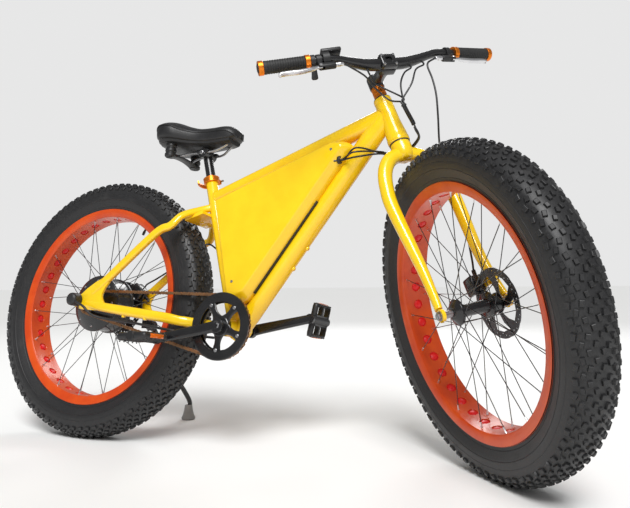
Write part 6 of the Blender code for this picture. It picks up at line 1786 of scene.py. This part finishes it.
@dataclass
class Seat:
    """Seatpost, clamp, rails, shell and the padded cushion."""

    widths: tuple = ((0.17, 0.04), (0.18, 0.075), (0.196, 0.093), (0.22, 0.1), (0.245, 0.094),
                     (0.268, 0.076), (0.292, 0.059), (0.318, 0.048), (0.35, 0.042), (0.385, 0.04),
                     (0.405, 0.036), (0.418, 0.028), (0.4265, 0.016))
    tops: tuple = ((0.17, 0.512), (0.185, 0.531), (0.205, 0.539), (0.235, 0.537), (0.268, 0.526),
                   (0.305, 0.518), (0.345, 0.5185), (0.38, 0.52), (0.402, 0.517), (0.417, 0.509),
                   (0.4265, 0.5))
    lows: tuple = ((0.17, 0.482), (0.196, 0.474), (0.3, 0.47), (0.385, 0.473), (0.41, 0.477),
                   (0.4265, 0.487))

    @staticmethod
    def at(table: tuple, x: float) -> float:
        """A value between the rows of a table, eased so that the outline has no corners."""
        rows = np.array(flow(table, 8))
        return float(np.interp(x, rows[:, 0], rows[:, 1]))

    @staticmethod
    def drop(x: float) -> float:
        """How far the top falls to its edge, less towards the nose."""
        return 0.016 - 0.006 * min(1, max(0, (x - 0.26) / 0.06))

    def cushion_mesh(self) -> Piece:
        """The cushion: a crowned closed form with a channel and rounded sides."""
        rings = []
        stations = [0.1695, 0.1705, 0.173, 0.177, 0.182, 0.188] + [0.196 + 0.0085 * i for i in range(26)]
        stations += [0.4165, 0.4205, 0.4235, 0.4255, 0.4265]
        for x in stations:
            wide = self.at(self.widths, x)
            top, low = self.at(self.tops, x), self.at(self.lows, x)
            if x < 0.172:
                wide, top, low = wide * 0.72, top - 0.006, low + 0.006
            if x > 0.4255:
                wide, top, low = wide * 0.7, top - 0.003, low + 0.004
            channel = 0.006 * max(0.0, math.sin(math.pi * min(1, max(0, (x - 0.182) / 0.185)))) ** 0.6
            drop = self.drop(x)
            half = [(0.0, top - channel), (0.08, top - channel * 0.72), (0.17, top - channel * 0.15),
                    (0.28, top + 0.0006), (0.45, top - drop * 0.1), (0.62, top - drop * 0.36),
                    (0.78, top - drop * 0.74), (0.9, top - drop * 1.18), (0.975, top - drop - 0.0075),
                    (1.0, top - drop - 0.014), (0.992, low + 0.017), (0.972, low + 0.009),
                    (0.93, low + 0.0025), (0.86, low)]
            ring = [Vector((x, wide * share, z)) for share, z in half]
            ring += [Vector((x, -wide * share, z)) for share, z in reversed(half[1:])]
            rings.append(ring)
        piece = Bench.loft("cushion", rings)
        Bench.rounder(piece, 1)
        return piece

    def piping(self) -> Piece:
        """The seam round the cushion between its top and its side cover."""
        spots = []
        for sign in (1, -1):
            xs = [0.178 + 0.0061 * i for i in range(41)]
            for x in (xs if sign > 0 else reversed(xs)):
                wide, top = self.at(self.widths, x), self.at(self.tops, x)
                spots.append(Vector((x, sign * wide, top - self.drop(x) - 0.0115)))
        spots.append(spots[0])
        return Bench.wire("cushion_seam", spots, 0.0013, 2, 1)

    def rails(self) -> list[Piece]:
        """The two steel rails below the shell."""
        head = STANCE.seat(0.525)
        made = []
        for side in (-1, 1):
            y = side * 0.0215
            spots = [Vector((0.208, side * 0.03, 0.448)), Vector((0.235, side * 0.03, 0.437)),
                     Vector((head.x - 0.045, y, head.z + 0.002)), Vector((head.x + 0.03, y, head.z + 0.002)),
                     Vector((0.378, side * 0.015, 0.456)), Vector((0.4, side * 0.01, 0.472))]
            made.append(Bench.wire(f"rail_{side}", spots, 0.0035, 3, 5))
        return made

    def base(self) -> None:
        """Shell, bumpers and yoke under the cushion."""
        section = ((1, 0), (0.5, 0.001), (-0.5, 0.001), (-1, 0), (-0.94, -0.007), (-0.7, -0.0125),
                   (0, -0.014), (0.7, -0.0125), (0.94, -0.007))
        rings = []
        for i in range(19):
            x = 0.18 + 0.0126 * i
            wide = self.at(self.widths, x) * 0.86
            high = self.at(self.lows, x) + 0.002
            rings.append([Vector((x, wide * share, high + rise)) for share, rise in section])
        parts = [Bench.loft("saddle_shell", rings)]
        for side in (-1, 1):
            foot = Vector((0.226, side * 0.058, 0.424))
            rows = [(0.0, 0), (0.0, 0.014), (0.003, 0.0165), (0.01, 0.0165), (0.0125, 0.014), (0.015, 0.014),
                    (0.0175, 0.0163), (0.0245, 0.016), (0.027, 0.0136), (0.0295, 0.0136), (0.032, 0.0158),
                    (0.046, 0.0152), (0.046, 0)]
            parts.append(Bench.turned(f"bumper_{side}", rows, foot, Z, 28))
        bow = ((-0.062, 0.426), (-0.03, 0.4335), (0.0, 0.436), (0.03, 0.4335), (0.062, 0.426))
        rows = [(0.226, y, z, 0.014, 0.0045) for y, z in bow]
        parts.append(Bench.loft("saddle_yoke", rings_along(flow(rows, 4), X, 16, 3)))
        hand_over(Bench.join("saddle_under", *parts), FINISH.plastic, "post", ("saddle_base",))
        hand_over(Bench.join("saddle_rails", *self.rails()), FINISH.steel, "post")

    def post(self) -> None:
        """The seatpost with its cradle and clamp bolts."""
        tube = Bench.turned("post_tube",
                            [(0.23, 0), (0.23, 0.0135), (0.515, 0.0135), (0.522, 0.0125), (0.522, 0)],
                            STANCE.CRANK, STANCE.seat_up, 36)
        head = STANCE.seat(0.525)
        barrel = Bench.turned("post_barrel", collar_profile(-0.027, 0.027, 0, 0.015, 0.0015), head, Y, 36)
        plates = [Bench.box(f"post_cradle_{side}", head + Y * side * 0.0215 + Z * 0.005, (X, Y, Z),
                            (0.042, 0.013, 0.011), 0.003) for side in (-1, 1)]
        hand_over(Bench.join("post", tube, barrel, *plates), FINISH.black, "post", ("seatpost",))
        nuts = [Bench.turned(f"post_nut_{side}",
                             [(0.026, 0), (0.026, 0.0068), (0.0315, 0.0068), (0.0322, 0.0058), (0.0322, 0)],
                             head, Y * side, 6) for side in (-1, 1)]
        hand_over(Bench.join("post_nuts", *nuts), FINISH.steel, "post")

    def clamp(self) -> None:
        """The orange collar with its skewer and cam lever."""
        low = 0.432
        rows = [(low, 0.0178), (low, 0.0218), (low + 0.0008, 0.0225), (low + 0.013, 0.0225),
                (low + 0.0137, 0.0232), (low + 0.0152, 0.0232), (low + 0.016, 0.0224), (low + 0.016, 0.0178)]
        ring = Bench.turned("clamp_ring", rows, STANCE.CRANK, STANCE.seat_up, 48)
        centre = STANCE.seat(0.44)
        ear = Bench.box("clamp_ears", centre + Y * 0.024, (STANCE.seat_ahead, Y, STANCE.seat_up),
                        (0.03, 0.01, 0.0145), 0.002)
        gap = Bench.box("clamp_slit", centre + Y * 0.025, (STANCE.seat_ahead, Y, STANCE.seat_up),
                        (0.0022, 0.02, 0.03))
        Bench.drill(ear, gap)
        hand_over(Bench.join("clamp", ring, ear), FINISH.orange, "frame", ("seat_clamp_collar",))
        skewer = Bench.wire("clamp_skewer",
                            [centre + Y * 0.0248 - STANCE.seat_ahead * 0.0203,
                             centre + Y * 0.0248 + STANCE.seat_ahead * 0.024], 0.0029, 4, 1)
        hand_over(skewer, FINISH.steel, "frame")
        axis = centre + Y * 0.0248 - STANCE.seat_ahead * 0.0242
        ahead = STANCE.seat_ahead
        rows = []
        for a, y, wide, tall in ((0.0036, 0, 0.0062, 0.0012), (0.001, 0, 0.0062, 0.0032),
                                 (-0.01, -0.006, 0.0062, 0.0028), (-0.014, -0.022, 0.0065, 0.0025),
                                 (-0.011, -0.04, 0.0065, 0.0025), (-0.004, -0.05, 0.005, 0.002)):
            rows.append((*(axis + ahead * a + Y * y), wide, tall))
        lever = Bench.loft("clamp_cam", rings_along(flow(rows, 5), STANCE.seat_up, 20, 2.6))
        hand_over(lever, FINISH.orange, "clamp_lever", ("seat_clamp_lever",))

    def build(self) -> None:
        """Makes every piece of the seat."""
        cushion = hand_over(self.cushion_mesh(), FINISH.vinyl, "post", ("saddle_cushion",), 60)
        hand_over(self.piping(), FINISH.vinyl, "post")
        self.base()
        self.post()
        self.clamp()


@dataclass
class Stand:
    """Bracket, leg and foot of the side stand."""

    top: Vector = Vector((0.08, 0.1285, -0.048))
    sole: Vector = Vector((0.12, 0.308, -0.325))
    tilt: float = math.radians(22.5)

    def build(self) -> None:
        """Makes the stand."""
        up = (STANCE.lean.to_3x3().inverted() @ Z).normalized()
        along = (self.sole - self.top).normalized()
        axis = Vector((0, math.cos(self.tilt), math.sin(self.tilt)))
        rows = [(*(self.top + along * 0.01), 0.007, 0.007),
                (*(self.top + along * 0.03 + Y * 0.002), 0.008, 0.008),
                (*(self.top + along * 0.12), 0.0075, 0.0075),
                (*(self.sole + up * 0.062 - along * 0.004), 0.0072, 0.0072),
                (*(self.sole + up * 0.034), 0.007, 0.007)]
        leg = Bench.loft("stand_leg", rings_along(flow(rows, 8), X, 24))
        eye = Bench.turned("stand_eye", collar_profile(-0.0075, 0.0075, 0.005, 0.015, 0.001),
                           self.top, axis, 36)
        hand_over(Bench.join("stand_leg_set", leg, eye), FINISH.black, "stand", ("kickstand_leg",))
        rows = [(0.0, 0), (0.0, 0.0195), (0.0012, 0.0205), (0.005, 0.0215), (0.007, 0.0212), (0.011, 0.019),
                (0.018, 0.0165), (0.03, 0.0135), (0.044, 0.0117), (0.045, 0.0108), (0.045, 0)]
        hand_over(Bench.turned("stand_foot", rows, self.sole, up, 40), FINISH.foot, "stand",
                  ("kickstand_foot",))
        middle = Vector((self.top.x, 0.11, self.top.z + 0.016))
        plate = Bench.box("stand_plate", middle, (X, Y, Z), (0.05, 0.004, 0.052), 0.0012)
        pin = Bench.turned("stand_pin",
                           [(-0.018, 0), (-0.018, 0.0105), (-0.0078, 0.0105), (-0.0078, 0.0046),
                            (0.0078, 0.0046), (0.0078, 0.006), (0.0092, 0.006), (0.0098, 0.005), (0.0098, 0)],
                           self.top, axis, 28)
        bolts = []
        for dx in (-0.016, 0.016):
            bolts.append(Bench.turned(f"stand_bolt_{dx}",
                                      [(0, 0), (0, 0.0052), (0.003, 0.0052), (0.0036, 0.0044), (0.0036, 0)],
                                      middle + X * dx + Y * 0.0018 + Z * 0.012, Y, 6))
        hand_over(Bench.join("stand_bracket", plate, pin, *bolts), FINISH.black, "frame",
                  ("kickstand_bracket",))


@dataclass
class Cables:
    """Brake cables, the motor cable and the bundle from the bar into the case."""

    cockpit: Cockpit
    brake: float = 0.0025
    thin: float = 0.0023
    bundle: float = 0.0032

    def barrel_end(self, side: int) -> Vector:
        """Where a cable leaves its lever's barrel."""
        spot, along, ahead, _ = self.cockpit.lever_frame(side)
        return spot + ahead * 0.03 - along * 0.0574

    def front(self) -> None:
        """The front brake cable, from the left lever down the left blade to its caliper."""
        f = STANCE.front
        spots = [self.barrel_end(1), f(0.09, 0.598, 0.118), f(0.09, 0.555, 0.112), f(0.084, 0.51, 0.108),
                 f(0.076, 0.458, 0.09), f(0.082, 0.405, 0.04), f(0.098, 0.35, -0.012), f(0.102, 0.28, -0.02),
                 f(0.094, 0.19, -0.018), f(0.08, 0.118, -0.02), f(0.0728, 0.089, -0.0218)]
        hand_over(Bench.wire("front_cable", spots, self.brake, 3, 8), FINISH.plastic, "steering",
                  ("front_brake_cable",))

    def rear(self) -> None:
        """The rear brake cable along the left stay."""
        ahead = Brakes.rear_ahead
        start = Brakes.rear_spot + ahead * 0.0209 + Y * 0.008
        spots = [start, start + ahead * 0.012 + Y * 0.001, Vector((0.11, 0.085, 0.09)),
                 Vector((0.16, 0.086, 0.118)), Vector((0.22, 0.085, 0.158)), Vector((0.28, 0.072, 0.184)),
                 Vector((0.325, 0.048, 0.182)), STANCE.seat(0.24, -0.03, 0.031),
                 STANCE.seat(0.22, 0.015, 0.03)]
        hand_over(Bench.wire("rear_cable", spots, self.brake, 3, 8), FINISH.plastic, "frame",
                  ("rear_brake_cable",))

    def motor(self) -> None:
        """The thick motor cable under the right stay."""
        route = ((0.0167, -0.1262, -0.007), (0.045, -0.124, -0.02), (0.075, -0.118, -0.042),
                 (0.12, -0.104, -0.052), (0.2, -0.1, -0.059), (0.3, -0.098, -0.072), (0.348, -0.086, -0.078),
                 (0.385, -0.052, -0.085), (0.43, -0.03, -0.088))
        hand_over(Bench.wire("motor_lead", [Vector(spot) for spot in route], 0.0034, 4, 8), FINISH.plastic,
                  "frame", ("motor_cable",))

    def bar(self) -> None:
        """Four cables from the bar that meet ahead of the head tube."""
        f = STANCE.front
        tie = f(-0.002, 0.502, 0.087)
        routes = [[self.barrel_end(-1), f(-0.08, 0.594, 0.095), f(-0.049, 0.588, 0.062),
                   f(-0.016, 0.545, 0.055)],
                  [f(-0.06, 0.63, 0.085), f(-0.056, 0.61, 0.08), f(-0.03, 0.6, 0.05), f(0.015, 0.54, 0.068)],
                  [f(0.062, 0.63, 0.085), f(0.06, 0.613, 0.09), f(0.034, 0.597, 0.092),
                   f(0.006, 0.558, 0.099)],
                  [f(0.098, 0.636, 0.088), f(0.096, 0.616, 0.096), f(0.062, 0.596, 0.103),
                   f(0.03, 0.55, 0.107)]]
        trunk = [tie, f(0.004, 0.488, 0.08), f(0.0235, 0.472, 0.0565), f(0.0235, 0.463, 0.0565)]
        parts = []
        for i, route in enumerate(routes):
            angle = math.tau * (i + 0.5) / 4 + math.pi
            spread = (Y * math.cos(angle) + STANCE.steer_ahead * math.sin(angle)) * self.bundle
            spots = [*route, tie + spread + STANCE.steer_up * 0.012] + [spot + spread for spot in trunk]
            parts.append(Bench.wire(f"bar_cable_{i}", spots, self.thin, 3, 8))
        tied = Bench.turned("cable_tie",
                            [(-0.002, 0.0055), (-0.002, 0.0068), (0.002, 0.0068), (0.002, 0.0055)], tie,
                            (trunk[1] - tie).normalized(), 24)
        hand_over(Bench.join("bar_cable_set", *parts, tied), FINISH.plastic, "steering", ("bar_cables",))

    def case(self) -> None:
        """Three cables from behind the crown, under the down tube and into the right half of the case."""
        back = STANCE.lean.inverted() @ STANCE.turned
        f = STANCE.front
        low, _, along, inward = STANCE.down_tube()
        under = low + along * 0.575 - inward * 0.018
        mouth = low + along * 0.5 + inward * 0.048 - Y * 0.04
        shared = [back @ f(0.0235, 0.457, 0.0565), back @ f(0.0235, 0.4495, 0.0565),
                  back @ f(0.042, 0.44, 0.025), f(0.047, 0.439, -0.001), f(0.037, 0.443, -0.038), under]
        home = (mouth - under).normalized()
        parts = []
        for i, (rise, out) in enumerate(((0.013, -0.05), (-0.002, -0.06), (-0.01, -0.046))):
            angle = math.tau * i / 3
            spread = (Y * math.cos(angle) + Z * math.sin(angle)) * self.bundle
            loop = under.lerp(mouth, 0.5) + Z * rise
            loop.y = out
            spots = [*(spot + spread for spot in shared), loop, mouth - home * 0.01 + spread * 0.5,
                     mouth + home * 0.016]
            parts.append(Bench.wire(f"case_cable_{i}", spots, self.thin, 3, 8))
        hand_over(Bench.join("case_cable_set", *parts), FINISH.plastic, "frame", ("case_cables",))
        collar = Bench.turned("case_grommet",
                              [(-0.004, 0.006), (-0.004, 0.0096), (-0.0025, 0.0104), (0.002, 0.0104),
                               (0.0035, 0.0096), (0.0035, 0.006)], mouth, X, 28)
        hand_over(collar, FINISH.plastic, "frame")

    def build(self) -> None:
        """Makes every cable."""
        self.front()
        self.rear()
        self.motor()
        self.bar()
        self.case()


# Studio


@dataclass
class Studio:
    """A plain pale floor, soft light and the camera at the photograph's angle."""

    pale: tuple[float, float, float] = (0.93, 0.93, 0.92)
    aim: Vector = Vector((0, 0, 0.45))
    camera_turn: Vector = Vector((1.2719, 0.3377, -0.3368))
    camera_spot: Vector = Vector((1.4253, -1.4174, -0.1734))
    picture: tuple[int, int] = (630, 508)
    focal: float = 629.5
    axis: tuple[float, float] = (329.8, 209.45)

    def floor(self) -> None:
        """A wide flat floor, just under the tyres."""
        Bench.only()
        bpy.ops.mesh.primitive_plane_add(size=2000, location=(0, 0, -0.0002))
        piece = Bench.named("floor")
        piece.data.transform(piece.matrix_world)
        piece.matrix_world = Matrix.Identity(4)
        material = bpy.data.materials.new("pale_floor")
        material.use_nodes = True
        shader = material.node_tree.nodes["Principled BSDF"]
        shader.inputs["Base Color"].default_value = rgba(self.pale)
        shader.inputs["Roughness"].default_value = 0.9
        piece.data.materials.append(material)

    @staticmethod
    def light(kind: str, name: str, spot: Sequence[float], aim: Vector, power: float) -> bpy.types.Light:
        """Adds a lamp that shines along a direction.

        Args:
            kind: Blender's type of light.
            name: The lamp's name.
            spot: Where it hangs.
            aim: The direction that it shines in.
            power: Its energy.

        Returns:
            Its light, for the settings of its type.
        """
        Bench.only()
        bpy.ops.object.light_add(type=kind, location=spot)
        lamp = bpy.context.view_layer.objects.active
        lamp.name = name
        lamp.data.energy = power
        lamp.rotation_mode = "QUATERNION"
        lamp.rotation_quaternion = aim.to_track_quat("-Z", "Y")
        return lamp.data

    def lamp(self, name: str, spot: Sequence[float], size: float, power: float) -> None:
        """A soft lamp that points at the bicycle."""
        light = self.light("AREA", name, spot, self.aim - Vector(spot), power)
        light.shape = "DISK"
        light.size = size

    def sun(self, aim: Sequence[float], power: float) -> None:
        """A wide soft sun that lights the floor evenly as far as it goes."""
        self.light("SUN", "main_light", (0, 0, 4), Vector(aim), power).angle = math.radians(25)

    def world(self) -> None:
        """Even light from all round, white where the camera sees it."""
        world = bpy.data.worlds.new("studio")
        bpy.context.scene.world = world
        world.use_nodes = True
        tree = world.node_tree
        back = tree.nodes["Background"]
        back.inputs["Color"].default_value = rgba((1, 1, 1))
        path = tree.nodes.new("ShaderNodeLightPath")
        share = tree.nodes.new("ShaderNodeMapRange")
        share.inputs["To Min"].default_value = 0.28
        share.inputs["To Max"].default_value = 0.8
        tree.links.new(path.outputs["Is Camera Ray"], share.inputs["Value"])
        tree.links.new(share.outputs[0], back.inputs["Strength"])

    def camera(self) -> None:
        """The camera, placed against the leaning bicycle; its focal length and axis are in pixels."""
        seen = Matrix.Rotation(self.camera_turn.length, 3, self.camera_turn)
        rows = Matrix((seen[0], -seen[1], -seen[2])).transposed()
        spot = Matrix.Translation(self.camera_spot) @ rows.to_4x4()
        wide, tall = self.picture
        data = bpy.data.cameras.new("photo_camera")
        data.sensor_width = 36
        data.lens = data.sensor_width * self.focal / wide
        data.shift_x = (wide / 2 - self.axis[0]) / wide
        data.shift_y = (self.axis[1] - tall / 2) / wide
        data.clip_start = 0.01
        camera = bpy.data.objects.new("photo_camera", data)
        bpy.context.scene.collection.objects.link(camera)
        camera.matrix_world = STANCE.lean @ spot
        bpy.context.scene.camera = camera

    def build(self) -> None:
        """Sets the studio up."""
        self.floor()
        self.sun((-0.35, 0.75, -1.0), 2.3)
        self.lamp("key_light", (2.2, -3.6, 3.6), 1.6, 70)
        self.lamp("back_light", (-1.0, 4.0, 3.2), 2.0, 60)
        self.world()
        self.camera()
        bpy.context.scene.view_settings.view_transform = "Standard"


def main() -> None:
    """Builds every sub-assembly in order."""
    logging.basicConfig(level=logging.INFO, format="%(name)s %(message)s")
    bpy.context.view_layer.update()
    Wheels(STANCE.front_axle).build()
    Frame().build()
    BatteryCase().build()
    Fork().build()
    cockpit = Cockpit()
    cockpit.build()
    Drive().build()
    Brakes().build()
    Axles().build()
    Seat().build()
    Stand().build()
    Cables(cockpit).build()
    Studio().build()


if __name__ == "__main__":
    main()
